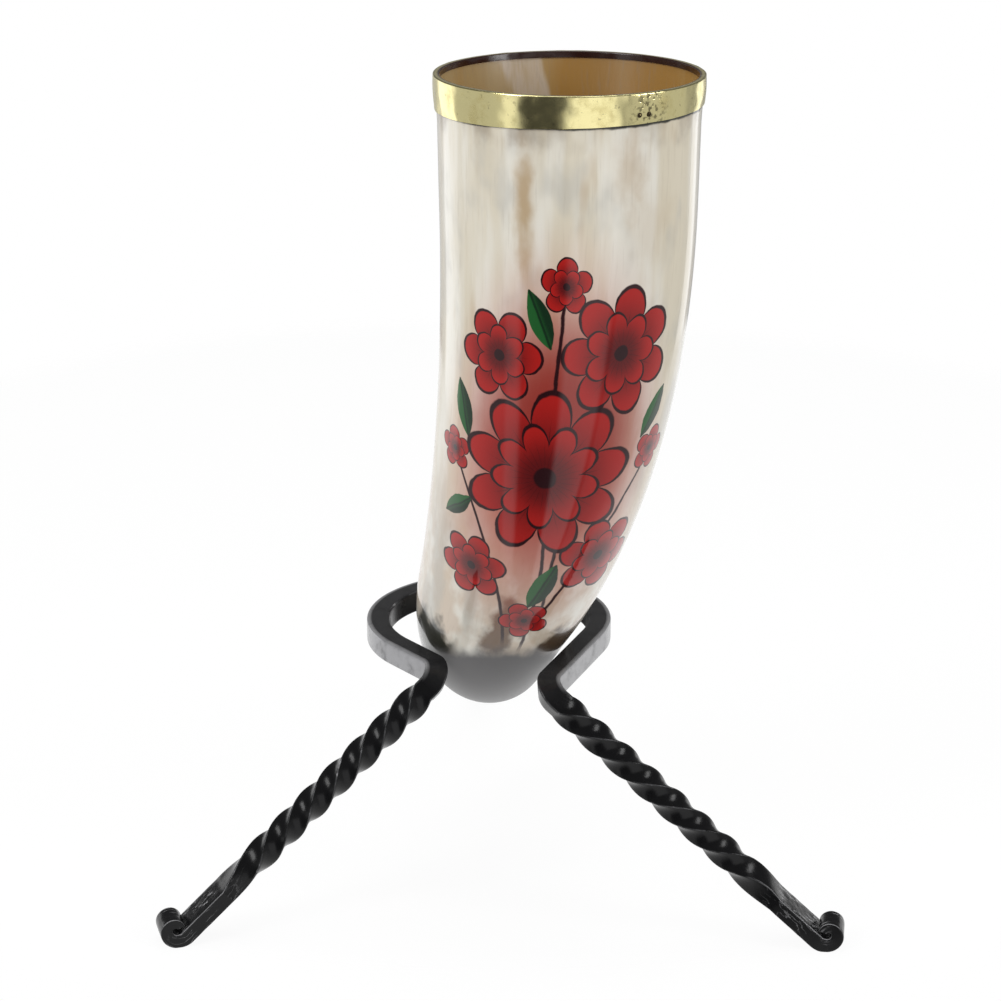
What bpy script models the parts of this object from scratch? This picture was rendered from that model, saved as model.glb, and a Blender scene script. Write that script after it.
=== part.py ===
"""Drinking horn in a forged iron stand.

Metres, +Z up. The gap at the front of the stand's ring faces -Y, and the horn's tip leaves the ring
towards +Y, under the back of the ring. The part stands on z = 0.
"""
import math
from collections import namedtuple

import bmesh
import bpy
import numpy as np
from mathutils import Matrix, Quaternion, Vector

MM = 0.001
DOWN = Vector((0, 0, -1))
UP = Vector((0, 0, 1))
QUARTER_TURN = math.pi / 2

# Stand
BAR_SIZE = 6.8 * MM
BAR_CHAMFER = 0.6 * MM
RING_TOP = 78.4 * MM
RING_RADIUS = 33.9 * MM
SEAT_GAP = 0.3 * MM
FRONT_GAP = 22.9 * MM
FRONT_GAP_SHIFT = 1.4 * MM
BEND_INNER_RADIUS = 0.8 * MM
LEFT_FOOT_SPREAD = 91.7 * MM
LEFT_FOOT_ADVANCE = 61 * MM
RIGHT_FOOT_SPREAD = 98.7 * MM
RIGHT_FOOT_ADVANCE = 63.4 * MM
TWIST_TURNS = 1.8
TWIST_RUNOUT = 17 * MM
PLAIN_LENGTH = 2 * MM
FLATTENING_LENGTH = 12 * MM

# Scroll feet
FOOT_RUN = 16.4 * MM
FOOT_WIDENING = 3.2 * MM
FOOT_NARROWING = 1.5 * MM
FOOT_THICKNESS = 4.8 * MM
FOOT_END_THICKNESS = 2.6 * MM
SCROLL_START_RADIUS = 4.6 * MM
SCROLL_END_RADIUS = 2.1 * MM
SCROLL_TIGHTENING = 2.5
SCROLL_END_ANGLE = math.radians(250)
FOOT_FLAT = 0.5 * MM

# Rear leg and its rivet
REAR_LEG_SHIFT = -15 * MM
REAR_FOOT_SHIFT = -2 * MM
REAR_FOOT_REACH = 128 * MM
TAB_WIDENING = 3.0 * MM
TAB_THICKNESS = 3.0 * MM
TAB_NECK = 4.0 * MM
JOINT_GAP = 0.3 * MM
RIVET_RADIUS = 1.5 * MM
RIVET_HEAD_LAP = 1.2 * MM
RIVET_HEAD_HEIGHT = 1.6 * MM
RIVET_FLARE = 0.7 * MM
RIVET_FLARE_HEIGHT = 1.4 * MM
RIVET_FIT = 0.25 * MM

# Horn: its mouth stands a set height above the ring
HORN_RADIUS = 35.2 * MM
MOUTH_FLARE = 0.5 * MM
FLARE_LENGTH = 12 * MM
MOUTH_WALL = 0.8 * MM
HORN_WALL = 3.0 * MM
THINNING_LENGTH = 27 * MM
MOUTH_RISE = 175.2 * MM
MOUTH_SIDE = 18.2 * MM
MOUTH_ADVANCE = 56 * MM
TIP_RADIUS = 3.5 * MM
HORN_LENGTH = 280 * MM
TAPER_POWER = 2.2
CAVITY_DEPTH = 180 * MM
CAVITY_BLUNTNESS = 4.0
STRAIGHT_LENGTH = 35 * MM
WIDE_ARC_RADIUS = 217 * MM
WIDE_ARC_LENGTH = 128 * MM
WIDE_ARC_SIDE_TURN = math.radians(28)
TIGHT_ARC_RADIUS = 80 * MM
TIP_HEADING = Vector((0.5, 1, 0))

# Brass rim and its pins
RIM_THICKNESS = 0.35 * MM
RIM_FOLD_RADIUS = 0.3 * MM
RIM_OUTER_HEIGHT = 7.8 * MM
RIM_INNER_HEIGHT = 1.2 * MM
RIM_FIT = 0.12 * MM
PIN_SHANK_RADIUS = 0.4 * MM
PIN_HEAD_LAP = 0.3 * MM
PIN_HEAD_HEIGHT = 0.3 * MM
PIN_STOP = 0.5 * MM
PIN_FIT = 0.1 * MM
PIN_RISE = 2.8 * MM
PIN_TURNS = (math.radians(28.2), math.radians(32.6))

# Sizes that follow from the ones above
FOOT_WIDTH = BAR_SIZE + FOOT_WIDENING
TAB_WIDTH = BAR_SIZE + TAB_WIDENING
BEND_RADIUS = BAR_SIZE / 2 + BEND_INNER_RADIUS
MOUTH_RADIUS = HORN_RADIUS + MOUTH_FLARE
MOUTH_CENTRE = Vector((MOUTH_SIDE, -MOUTH_ADVANCE, RING_TOP + MOUTH_RISE))

# How finely the round shapes are cut
HORN_SIDES = 60
HORN_STEP = 8 * MM
CAVITY_STEP = 9 * MM
TIP_STEP = math.radians(22.5)
RIM_SIDES = 60
ROD_SIDES = 20
DOME_STEP = math.radians(30)
RING_STEP = math.radians(8)
BEND_STEPS = 6
TWIST_STEP = 2.2 * MM
SCROLL_STEP = math.radians(16)
SKIN_STEP = 0.5 * MM
MERGE_DISTANCE = 0.001 * MM

Arc = namedtuple("Arc", "centre inward heading radius")
Station = namedtuple("Station", "point heading across up width height")


def arc_from(start, heading, inward, radius):
    return Arc(start + inward * radius, inward, heading, radius)


def along_arc(arc, distance):
    """Point and heading at a distance along an arc."""
    angle = distance / arc.radius
    point = arc.centre + arc.radius * (arc.heading * math.sin(angle) - arc.inward * math.cos(angle))
    return point, arc.heading * math.cos(angle) + arc.inward * math.sin(angle)


# The horn's centre line: straight below the mouth, a wide arc to the back and left, a tight arc to the tip
WIDE_INWARD = Vector((-math.sin(WIDE_ARC_SIDE_TURN), math.cos(WIDE_ARC_SIDE_TURN), 0))
WIDE_ARC = arc_from(MOUTH_CENTRE + DOWN * STRAIGHT_LENGTH, DOWN, WIDE_INWARD, WIDE_ARC_RADIUS)
TIGHT_START, TIGHT_HEADING = along_arc(WIDE_ARC, WIDE_ARC_LENGTH)
TIGHT_NORMAL = TIGHT_HEADING.cross(TIP_HEADING).normalized()
TIGHT_ARC = arc_from(TIGHT_START, TIGHT_HEADING, TIGHT_NORMAL.cross(TIGHT_HEADING), TIGHT_ARC_RADIUS)


def horn_axis(distance):
    """Point and heading on the horn's centre line, measured from the mouth."""
    if distance <= STRAIGHT_LENGTH:
        return MOUTH_CENTRE + DOWN * distance, DOWN
    if distance <= STRAIGHT_LENGTH + WIDE_ARC_LENGTH:
        return along_arc(WIDE_ARC, distance - STRAIGHT_LENGTH)
    return along_arc(TIGHT_ARC, distance - STRAIGHT_LENGTH - WIDE_ARC_LENGTH)


def horn_radius(distance):
    """Outer radius at a distance from the mouth, rounded off at the tip."""
    share = min(distance / HORN_LENGTH, 1.0)
    taper = TIP_RADIUS + (HORN_RADIUS - TIP_RADIUS) * (1 - share ** TAPER_POWER)
    flare = MOUTH_FLARE * max(0.0, 1 - distance / FLARE_LENGTH)
    into_tip = max(0.0, distance - HORN_LENGTH + TIP_RADIUS) / TIP_RADIUS
    return (taper + flare) * math.sqrt(max(0.0, 1 - into_tip ** 2))


def wall(distance):
    """Thickness of the horn's wall, scraped thin at the mouth."""
    return MOUTH_WALL + (HORN_WALL - MOUTH_WALL) * min(distance / THINNING_LENGTH, 1.0)


def cavity_radius(distance):
    """Inner radius at a distance from the mouth: the wall grows thicker towards the cavity's end."""
    share = min(distance / CAVITY_DEPTH, 1.0)
    return (horn_radius(distance) - wall(distance)) * math.sqrt(1 - share ** CAVITY_BLUNTNESS)


def horn_section(distance, radius, sides):
    """Points of a circle square to the horn's centre line, starting at +X."""
    point, heading = horn_axis(distance)
    right = (Vector((1, 0, 0)) - heading * heading.x).normalized()
    front = heading.cross(right)
    angles = [2 * math.pi * k / sides for k in range(sides)]
    return [point + radius * (right * math.cos(a) + front * math.sin(a)) for a in angles]


def steps_between(start, end, step):
    count = max(2, math.ceil(abs(end - start) / step))
    return [start + (end - start) * k / count for k in range(count + 1)]


def new_object(name, bm, material, parent, smooth_angle=math.radians(35)):
    """Put a finished bmesh into the scene as one named piece, smooth except at its sharp edges."""
    bmesh.ops.recalc_face_normals(bm, faces=bm.faces)
    mesh = bpy.data.meshes.new(name)
    bm.to_mesh(mesh)
    bm.free()
    mesh.shade_smooth()
    mesh.set_sharp_from_angle(angle=smooth_angle)
    mesh.materials.append(material)
    piece = bpy.data.objects.new(name, mesh)
    bpy.context.scene.collection.objects.link(piece)
    piece.parent = parent
    if parent is not None:
        piece.matrix_parent_inverse = parent.matrix_world.inverted()
    return piece


def empty(name, place, parent=None):
    marker = bpy.data.objects.new(name, None)
    bpy.context.scene.collection.objects.link(marker)
    marker.location = place
    marker.parent = parent
    bpy.context.view_layer.update()
    return marker


def material(name, colour, roughness, metallic):
    made = bpy.data.materials.new(name)
    made.use_nodes = True
    shader = made.node_tree.nodes["Principled BSDF"]
    shader.inputs["Base Color"].default_value = (*colour, 1)
    shader.inputs["Roughness"].default_value = roughness
    shader.inputs["Metallic"].default_value = metallic
    return made


def loft(rings):
    """Skin a row of closed rings of like point counts, and return the mesh and its two end loops."""
    bm = bmesh.new()
    loop = [bm.verts.new(point) for point in rings[0]]
    first = loop
    edges = [bm.edges.new((loop[k - 1], loop[k])) for k in range(len(loop))]
    for ring in rings[1:]:
        made = bmesh.ops.extrude_edge_only(bm, edges=edges)["geom"]
        order = {vert: k for k, vert in enumerate(loop)}
        edges = [item for item in made if isinstance(item, bmesh.types.BMEdge)]
        loop = [None] * len(ring)
        for vert in (item for item in made if isinstance(item, bmesh.types.BMVert)):
            rung = next(edge for edge in vert.link_edges if edge.other_vert(vert) in order)
            place = order[rung.other_vert(vert)]
            vert.co = ring[place]
            loop[place] = vert
    return bm, first, loop


def capped_loft(rings):
    bm, first, last = loft(rings)
    bm.faces.new(first)
    bm.faces.new(last)
    return bm


def lathe(profile, sides, place, closed=False):
    """Turn a profile of (radius, height) points about a vertical axis, then move it with a matrix.

    An open profile starts and ends on the axis. A closed one makes a ring.
    """
    bm = bmesh.new()
    verts = [bm.verts.new((radius, 0, height)) for radius, height in profile]
    edges = [bm.edges.new(pair) for pair in zip(verts[:-1], verts[1:])]
    if closed:
        edges.append(bm.edges.new((verts[-1], verts[0])))
    bmesh.ops.spin(bm, geom=verts + edges, cent=(0, 0, 0), axis=(0, 0, 1), angle=2 * math.pi,
                   steps=sides, use_merge=True)
    bmesh.ops.remove_doubles(bm, verts=bm.verts, dist=MERGE_DISTANCE)
    bmesh.ops.transform(bm, matrix=place, verts=bm.verts)
    return bm


def dome(radius, base, height):
    """Profile points of a rounded head, from its edge to its top on the axis."""
    angles = steps_between(0.0, math.pi / 2, DOME_STEP)
    return [(radius * math.cos(a), base + height * math.sin(a)) for a in angles[:-1]] + [(0, base + height)]


def cut(piece, bm, name):
    """Cut a shape out of a piece with a hidden cutter."""
    cutter = new_object(name, bm, piece.data.materials[0], piece.parent)
    cutter.hide_render = True
    cutter.display_type = "WIRE"
    boolean = piece.modifiers.new(name, "BOOLEAN")
    boolean.object = cutter
    boolean.operation = "DIFFERENCE"
    boolean.solver = "EXACT"


def make_horn_shell(parent, horn):
    """One natural horn: outer skin from tip to mouth, then the cavity down to its blunt end."""
    shoulder = HORN_LENGTH - TIP_RADIUS
    tip = [shoulder + TIP_RADIUS * math.sin(angle) for angle in steps_between(math.pi / 2, 0.0, TIP_STEP)]
    body = steps_between(shoulder, FLARE_LENGTH, HORN_STEP) + [0.0]
    cavity = [0.0] + steps_between(FLARE_LENGTH, CAVITY_DEPTH, CAVITY_STEP)
    rings = [horn_section(d, horn_radius(d), HORN_SIDES) for d in tip[1:-1] + body]
    rings += [horn_section(d, cavity_radius(d), HORN_SIDES) for d in cavity[:-1]]
    bm, tip_loop, cavity_loop = loft(rings)
    bmesh.ops.pointmerge(bm, verts=tip_loop, merge_co=horn_axis(HORN_LENGTH)[0])
    bmesh.ops.pointmerge(bm, verts=cavity_loop, merge_co=horn_axis(CAVITY_DEPTH)[0])
    shell = new_object("horn_shell", bm, horn, parent)
    for number, turn in enumerate(PIN_TURNS, 1):
        cut(shell, pin_bore(-PIN_BITE - PIN_FIT, PIN_BITE, turn), f"horn_pin_bore_{number}")


PIN_DEPTH = RIM_OUTER_HEIGHT - PIN_RISE
PIN_BITE = wall(PIN_DEPTH) - PIN_STOP


def pin_place(turn):
    """Matrix that puts a pin's axis on the horn's skin, pointing out, at an angle from the front."""
    outward = Vector((math.sin(turn), -math.cos(turn), 0))
    foot = MOUTH_CENTRE + DOWN * PIN_DEPTH + outward * horn_radius(PIN_DEPTH)
    return Matrix.Translation(foot) @ UP.rotation_difference(outward).to_matrix().to_4x4()


def pin_bore(bottom, top, turn):
    radius = PIN_SHANK_RADIUS + PIN_FIT
    return lathe([(0, bottom), (radius, bottom), (radius, top), (0, top)], ROD_SIDES, pin_place(turn))


def rim_profile():
    """The rim's folded strip in section, hugging the horn's skin, lip and inside."""
    skin = horn_radius(RIM_OUTER_HEIGHT) + RIM_FIT
    side = MOUTH_RADIUS + RIM_FIT
    inside = MOUTH_RADIUS - MOUTH_WALL - RIM_FIT
    lower_inside = cavity_radius(RIM_INNER_HEIGHT) - RIM_FIT
    fold_height = RIM_FIT + RIM_THICKNESS - RIM_FOLD_RADIUS
    outer_fold = side + RIM_THICKNESS - RIM_FOLD_RADIUS
    inner_fold = inside - RIM_THICKNESS + RIM_FOLD_RADIUS
    profile = [(skin + RIM_THICKNESS, -RIM_OUTER_HEIGHT)]
    for fold, start in ((outer_fold, 0.0), (inner_fold, math.pi / 2)):
        for angle in steps_between(start, start + math.pi / 2, DOME_STEP):
            rise = fold_height + RIM_FOLD_RADIUS * math.sin(angle)
            profile.append((fold + RIM_FOLD_RADIUS * math.cos(angle), rise))
    profile += [
        (lower_inside - RIM_THICKNESS, -RIM_INNER_HEIGHT),
        (lower_inside, -RIM_INNER_HEIGHT),
        (inside, RIM_FIT),
        (side, RIM_FIT),
        (skin, -RIM_OUTER_HEIGHT),
    ]
    return profile


def make_rim(parent, brass, pin_metal):
    """The folded brass band and the two pins that hold it beside its seam."""
    turned_band = lathe(rim_profile(), RIM_SIDES, Matrix.Translation(MOUTH_CENTRE), closed=True)
    band = new_object("rim_band", turned_band, brass, parent)
    under_head = RIM_FIT + RIM_THICKNESS + PIN_FIT
    for number, turn in enumerate(PIN_TURNS, 1):
        cut(band, pin_bore(-PIN_FIT, under_head + RIM_THICKNESS, turn), f"rim_pin_bore_{number}")
        profile = [(0, -PIN_BITE), (PIN_SHANK_RADIUS, -PIN_BITE), (PIN_SHANK_RADIUS, under_head)]
        profile += dome(PIN_SHANK_RADIUS + PIN_HEAD_LAP, under_head, PIN_HEAD_HEIGHT)
        new_object(f"rim_pin_{number}", lathe(profile, ROD_SIDES, pin_place(turn)), pin_metal, parent)


def bar_section(station):
    """Chamfered rectangle round a point on a bar's centre line."""
    half_wide = station.width / 2
    half_high = station.height / 2
    chamfer = min(BAR_CHAMFER, half_wide / 2, half_high / 2)
    corners = [
        (half_wide, half_high - chamfer), (half_wide - chamfer, half_high),
        (chamfer - half_wide, half_high), (-half_wide, half_high - chamfer),
        (-half_wide, chamfer - half_high), (chamfer - half_wide, -half_high),
        (half_wide - chamfer, -half_high), (half_wide, chamfer - half_high),
    ]
    return [station.point + station.across * x + station.up * y for x, y in corners]


def turned(vector, heading, angle):
    return Quaternion(heading, angle) @ vector


def bend_stations(corner, start, heading):
    """Round a corner: from the start station's heading to a new heading, keeping the section's roll."""
    turn = start.heading.angle(heading)
    reach = BEND_RADIUS * math.tan(turn / 2)
    axis = start.heading.cross(heading).normalized()
    arc = arc_from(corner - start.heading * reach, start.heading, axis.cross(start.heading), BEND_RADIUS)
    stations = []
    for angle in steps_between(0.0, turn, turn / BEND_STEPS):
        point, way = along_arc(arc, angle * BEND_RADIUS)
        across = turned(start.across, axis, angle)
        stations.append(Station(point, way, across, turned(start.up, axis, angle), BAR_SIZE, BAR_SIZE))
    return stations


def scroll_points(slope):
    """Centre points and angles of a scroll foot in its own plane, with the floor touched at the origin."""
    angles = steps_between(-slope, SCROLL_END_ANGLE, SCROLL_STEP)
    span = SCROLL_END_ANGLE + slope
    points = [Vector((0, 0))]
    for before, after in zip(angles[:-1], angles[1:]):
        middle = (before + after) / 2
        share = (middle + slope) / span
        opening = (1 - share) ** SCROLL_TIGHTENING
        radius = SCROLL_END_RADIUS + (SCROLL_START_RADIUS - SCROLL_END_RADIUS) * opening
        points.append(points[-1] + Vector((math.cos(middle), math.sin(middle))) * radius * (after - before))
    lowest = min(points, key=lambda point: point.y)
    lift = FOOT_THICKNESS / 2 - FOOT_FLAT
    return angles, [point - lowest + Vector((0, lift)) for point in points]


def foot_station(point, heading, across, lean, width, thickness, quarters):
    """A flat section, rolled by the leg's quarter turns so that it follows the twist corner by corner."""
    roll = -quarters * QUARTER_TURN
    sizes = (thickness, width) if quarters % 2 else (width, thickness)
    return Station(point, heading, turned(across, heading, roll), turned(lean, heading, roll), *sizes)


def twist_share(done, twist_length):
    """Share of the twist that is done at a distance: even at first, then running out above the foot."""
    even_length = twist_length - TWIST_RUNOUT / 2
    left = twist_length - done
    if left >= TWIST_RUNOUT:
        return done / even_length
    return 1 - left ** 2 / (2 * TWIST_RUNOUT * even_length)


def leg_stations(corner, start, foot_place):
    """Bend, twisted leg and scroll foot, from a bar that arrives at a corner."""
    flat_way = Vector((foot_place.x - corner.x, foot_place.y - corner.y, 0))
    plan_length = flat_way.length
    flat_way.normalize()
    slope = math.atan2(corner.z, plan_length)
    for _ in range(12):
        angles, points = scroll_points(slope)
        slope = math.atan2(corner.z - points[0].y, plan_length + points[0].x)
    heading = flat_way * math.cos(slope) - UP * math.sin(slope)
    bend = bend_stations(corner, start, heading)
    top = bend[-1]
    end = foot_place + flat_way * points[0].x + UP * (points[0].y - foot_place.z)
    length = (end - top.point).length
    hand = 1 if top.across.cross(top.up).dot(heading) > 0 else -1
    across = UP.cross(flat_way) * hand
    offset = math.atan2(top.across.cross(across).dot(heading), top.across.dot(across))
    quarters = round((2 * math.pi * TWIST_TURNS + offset) / QUARTER_TURN)
    total = offset - quarters * QUARTER_TURN
    twist_length = length - PLAIN_LENGTH - FOOT_RUN
    lean = UP * math.cos(slope) + flat_way * math.sin(slope)
    stations = list(bend)
    for done in steps_between(0.0, twist_length, TWIST_STEP):
        flat = max(0.0, 1 - (twist_length - done) / FLATTENING_LENGTH) ** 2
        width = BAR_SIZE + (FOOT_WIDTH - BAR_SIZE) * flat
        thickness = BAR_SIZE + (FOOT_THICKNESS - BAR_SIZE) * flat
        point = top.point + heading * (PLAIN_LENGTH + done)
        left_to_turn = total * (twist_share(done, twist_length) - 1)
        stations.append(foot_station(point, heading, turned(across, heading, left_to_turn),
                                     turned(lean, heading, left_to_turn), width, thickness, quarters))
    span = SCROLL_END_ANGLE + slope
    for angle, point in zip(angles, points):
        share = (angle + slope) / span
        place = foot_place + flat_way * point.x + UP * (point.y - foot_place.z)
        way = flat_way * math.cos(angle) + UP * math.sin(angle)
        lean = UP * math.cos(angle) - flat_way * math.sin(angle)
        thickness = FOOT_THICKNESS + (FOOT_END_THICKNESS - FOOT_THICKNESS) * share
        width = FOOT_WIDTH - FOOT_NARROWING * share
        stations.append(foot_station(place, way, across, lean, width, thickness, quarters))
    return stations


def trim_foot(bm):
    """Cut the flat that a foot stands on at z = 0."""
    parts = bm.verts[:] + bm.edges[:] + bm.faces[:]
    made = bmesh.ops.bisect_plane(bm, geom=parts, plane_co=(0, 0, 0), plane_no=DOWN, clear_outer=True)
    rim = [item for item in made["geom_cut"] if isinstance(item, bmesh.types.BMEdge)]
    bmesh.ops.holes_fill(bm, edges=rim)


def ring_skin():
    """Plan points of the horn's skin between the bottom and the top of the ring."""
    skin = []
    for distance in steps_between(0.0, HORN_LENGTH, SKIN_STEP):
        skin += horn_section(distance, horn_radius(distance), HORN_SIDES)
    skin = np.array(skin)
    height = skin[:, 2] - RING_TOP + BAR_SIZE / 2
    return skin[np.abs(height) < BAR_SIZE / 2 + SKIN_STEP][:, :2]


def ring_places():
    """Where the ring goes: its centre and its two front corners, all seated on the horn."""
    height = RING_TOP - BAR_SIZE / 2
    skin = ring_skin()
    axis = [horn_axis(distance)[0] for distance in steps_between(0.0, HORN_LENGTH, SKIN_STEP)]
    middle = min(axis, key=lambda point: abs(point.z - height))
    inner = RING_RADIUS - BAR_SIZE / 2 - SEAT_GAP
    back = skin[skin[:, 1] > middle.y]
    reach = np.sqrt(np.maximum(inner ** 2 - (back[:, 0] - middle.x) ** 2, 0))
    centre = Vector((middle.x, float(np.max(back[:, 1] - reach)), height))
    corners = {}
    for side in (-1, 1):
        corner_x = centre.x + FRONT_GAP_SHIFT + side * (FRONT_GAP + BAR_SIZE) / 2
        far = centre.y - 3 * RING_RADIUS
        near = centre.y - RING_RADIUS
        while near - far > MERGE_DISTANCE:
            corner = Vector((corner_x, (far + near) / 2, height))
            if front_clearance(skin, centre, corner, side) < BAR_SIZE / 2 + SEAT_GAP:
                near = corner.y
            else:
                far = corner.y
        corners[side] = corner
    return centre, corners


def tangent_angle(centre, corner, side):
    """Angle on the ring, mirrored to the right-hand side, where the straight run to a corner leaves it."""
    x = side * (corner.x - centre.x)
    y = corner.y - centre.y
    return math.atan2(y, x) + math.acos(min(1.0, RING_RADIUS / math.hypot(x, y)))


def ring_point(centre, angle, side):
    return centre + Vector((side * math.cos(angle), math.sin(angle), 0)) * RING_RADIUS


def front_clearance(skin, centre, corner, side):
    """Least plan distance from the horn's skin to the straight run beside a front corner."""
    start = ring_point(centre, tangent_angle(centre, corner, side), side)
    a = np.array(start[:2])
    run = np.array(corner[:2]) - a
    share = np.clip((skin - a) @ run / (run @ run), 0, 1)
    return float(np.min(np.linalg.norm(skin - a - share[:, None] * run, axis=1)))


def half_bar(centre, corner, side):
    """Stations from the back of the ring to one front foot."""
    stations = []
    for angle in steps_between(math.pi / 2, tangent_angle(centre, corner, side), RING_STEP):
        outward = Vector((side * math.cos(angle), math.sin(angle), 0))
        heading = Vector((side * math.sin(angle), -math.cos(angle), 0))
        stations.append(Station(ring_point(centre, angle, side), heading, outward, UP, BAR_SIZE, BAR_SIZE))
    spread = RIGHT_FOOT_SPREAD if side > 0 else LEFT_FOOT_SPREAD
    advance = RIGHT_FOOT_ADVANCE if side > 0 else LEFT_FOOT_ADVANCE
    foot = Vector((centre.x + side * spread, centre.y - advance, 0))
    return stations + leg_stations(corner, stations[-1], foot)


def make_stand_bar(parent, centre, corners, iron):
    """Ring, bends, twisted front legs and scroll feet: one bar from foot to foot."""
    left = half_bar(centre, corners[-1], -1)
    right = half_bar(centre, corners[1], 1)
    stations = left[::-1] + right[1:]
    bm = capped_loft([bar_section(station) for station in stations])
    trim_foot(bm)
    return new_object("stand_bar", bm, iron, parent)


def rivet_stem(fit):
    """Profile of the rear rivet below its head, from the flared foot up, grown for its hole."""
    bottom = RING_TOP - BAR_SIZE
    shank = RIVET_RADIUS + fit
    return [(0, bottom - fit), (shank + RIVET_FLARE, bottom - fit), (shank, bottom + RIVET_FLARE_HEIGHT)]


def make_rear_leg(parent, centre, stand_bar, iron):
    """The rear leg on the back of the ring, and the rivet through its tab."""
    ring_depth = math.sqrt(RING_RADIUS ** 2 - REAR_LEG_SHIFT ** 2)
    rivet_place = Vector((centre.x + REAR_LEG_SHIFT, centre.y + ring_depth, 0))
    foot = Vector((centre.x + REAR_FOOT_SHIFT, centre.y + REAR_FOOT_REACH, 0))
    back = (foot - rivet_place).normalized()
    side = back.cross(UP)
    under_head = RING_TOP + 2 * JOINT_GAP + TAB_THICKNESS
    tab_middle = rivet_place + UP * (RING_TOP + JOINT_GAP + TAB_THICKNESS / 2)
    tab_end = tab_middle + back * BAR_SIZE / 2
    neck = tab_end + back * TAB_NECK + UP * (BAR_SIZE - TAB_THICKNESS) / 2
    stations = [
        Station(tab_middle - back * BAR_SIZE / 2, back, side, UP, TAB_WIDTH, TAB_THICKNESS),
        Station(tab_end, back, side, UP, TAB_WIDTH, TAB_THICKNESS),
        Station(neck, back, side, UP, BAR_SIZE, BAR_SIZE),
    ]
    stations += leg_stations(neck + back * BEND_RADIUS, stations[-1], foot)
    bm = capped_loft([bar_section(station) for station in stations])
    trim_foot(bm)
    leg = new_object("rear_leg", bm, iron, parent)
    at_rivet = Matrix.Translation(rivet_place)
    hole = rivet_stem(RIVET_FIT)
    hole += [(RIVET_RADIUS + RIVET_FIT, under_head + TAB_THICKNESS), (0, under_head + TAB_THICKNESS)]
    cut(stand_bar, lathe(hole, ROD_SIDES, at_rivet), "ring_rivet_hole")
    cut(leg, lathe(hole, ROD_SIDES, at_rivet), "tab_rivet_hole")
    rivet = rivet_stem(0.0) + [(RIVET_RADIUS, under_head)]
    rivet += dome(RIVET_RADIUS + RIVET_HEAD_LAP, under_head, RIVET_HEAD_HEIGHT)
    new_object("rear_leg_rivet", lathe(rivet, ROD_SIDES, at_rivet), iron, parent)


def centre_on_floor(root):
    """Move the whole part so that the middle of its box stands on the origin."""
    bpy.context.view_layer.update()
    corners = []
    for piece in bpy.data.objects:
        if piece.type == "MESH" and not piece.hide_render:
            corners += [piece.matrix_world @ vert.co for vert in piece.data.vertices]
    middle = [(min(c[k] for c in corners) + max(c[k] for c in corners)) / 2 for k in range(2)]
    root.location = Vector((-middle[0], -middle[1], 0))


def main():
    for old in list(bpy.data.objects):
        bpy.data.objects.remove(old, do_unlink=True)
    horn = material("horn", (0.72, 0.62, 0.48), 0.22, 0.0)
    brass = material("brass", (0.72, 0.55, 0.28), 0.28, 1.0)
    pin_metal = material("dark_pin", (0.12, 0.09, 0.06), 0.45, 1.0)
    iron = material("black_iron", (0.025, 0.025, 0.028), 0.38, 0.0)
    root = empty("drinking_horn", (0, 0, 0))
    stand = empty("stand", (0, 0, 0), root)
    pivot = empty("horn_pivot", TIGHT_ARC.centre, root)
    centre, corners = ring_places()
    stand_bar = make_stand_bar(stand, centre, corners, iron)
    make_rear_leg(stand, centre, stand_bar, iron)
    make_horn_shell(pivot, horn)
    make_rim(pivot, brass, pin_metal)
    centre_on_floor(root)


main()
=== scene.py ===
"""Looks of a drinking horn in its forged iron stand, laid out as a Blender add-on and run as a script.

Metres, +Z up. The open front of the stand's ring faces -Y, as in the packed part.
"""
import math
from collections import namedtuple
from functools import reduce

import bmesh
import bpy
from bpy.props import FloatProperty, FloatVectorProperty, PointerProperty
from mathutils import Matrix, Quaternion, Vector, noise


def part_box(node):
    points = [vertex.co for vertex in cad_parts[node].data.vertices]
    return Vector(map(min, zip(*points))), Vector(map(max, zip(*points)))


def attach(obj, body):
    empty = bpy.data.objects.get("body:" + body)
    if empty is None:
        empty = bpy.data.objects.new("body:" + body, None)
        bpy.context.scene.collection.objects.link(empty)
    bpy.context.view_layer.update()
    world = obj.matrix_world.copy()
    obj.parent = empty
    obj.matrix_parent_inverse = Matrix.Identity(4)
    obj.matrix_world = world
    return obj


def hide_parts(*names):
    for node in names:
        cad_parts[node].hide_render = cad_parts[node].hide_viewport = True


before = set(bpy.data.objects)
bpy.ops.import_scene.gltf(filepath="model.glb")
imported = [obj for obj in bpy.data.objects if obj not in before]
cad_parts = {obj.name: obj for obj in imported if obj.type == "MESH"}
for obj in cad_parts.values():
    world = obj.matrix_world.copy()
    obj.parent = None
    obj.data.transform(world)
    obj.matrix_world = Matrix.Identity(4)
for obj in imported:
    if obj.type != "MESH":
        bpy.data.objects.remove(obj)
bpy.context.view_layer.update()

bl_info = {
    "name": "Drinking horn",
    "version": (1, 0, 0),
    "blender": (4, 5, 0),
    "location": "View3D > Sidebar > Drinking horn",
    "description": "Dresses a drinking horn with a brass rim and its forged iron stand",
    "category": "Add Mesh",
}

RIM_LOW, RIM_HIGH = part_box("rim_band")
DOWN = Vector((0, 0, -1))
UP = Vector((0, 0, 1))
FLOOR_POINT = (0, 0, 0)
QUARTER_TURN = math.pi / 2

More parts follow.
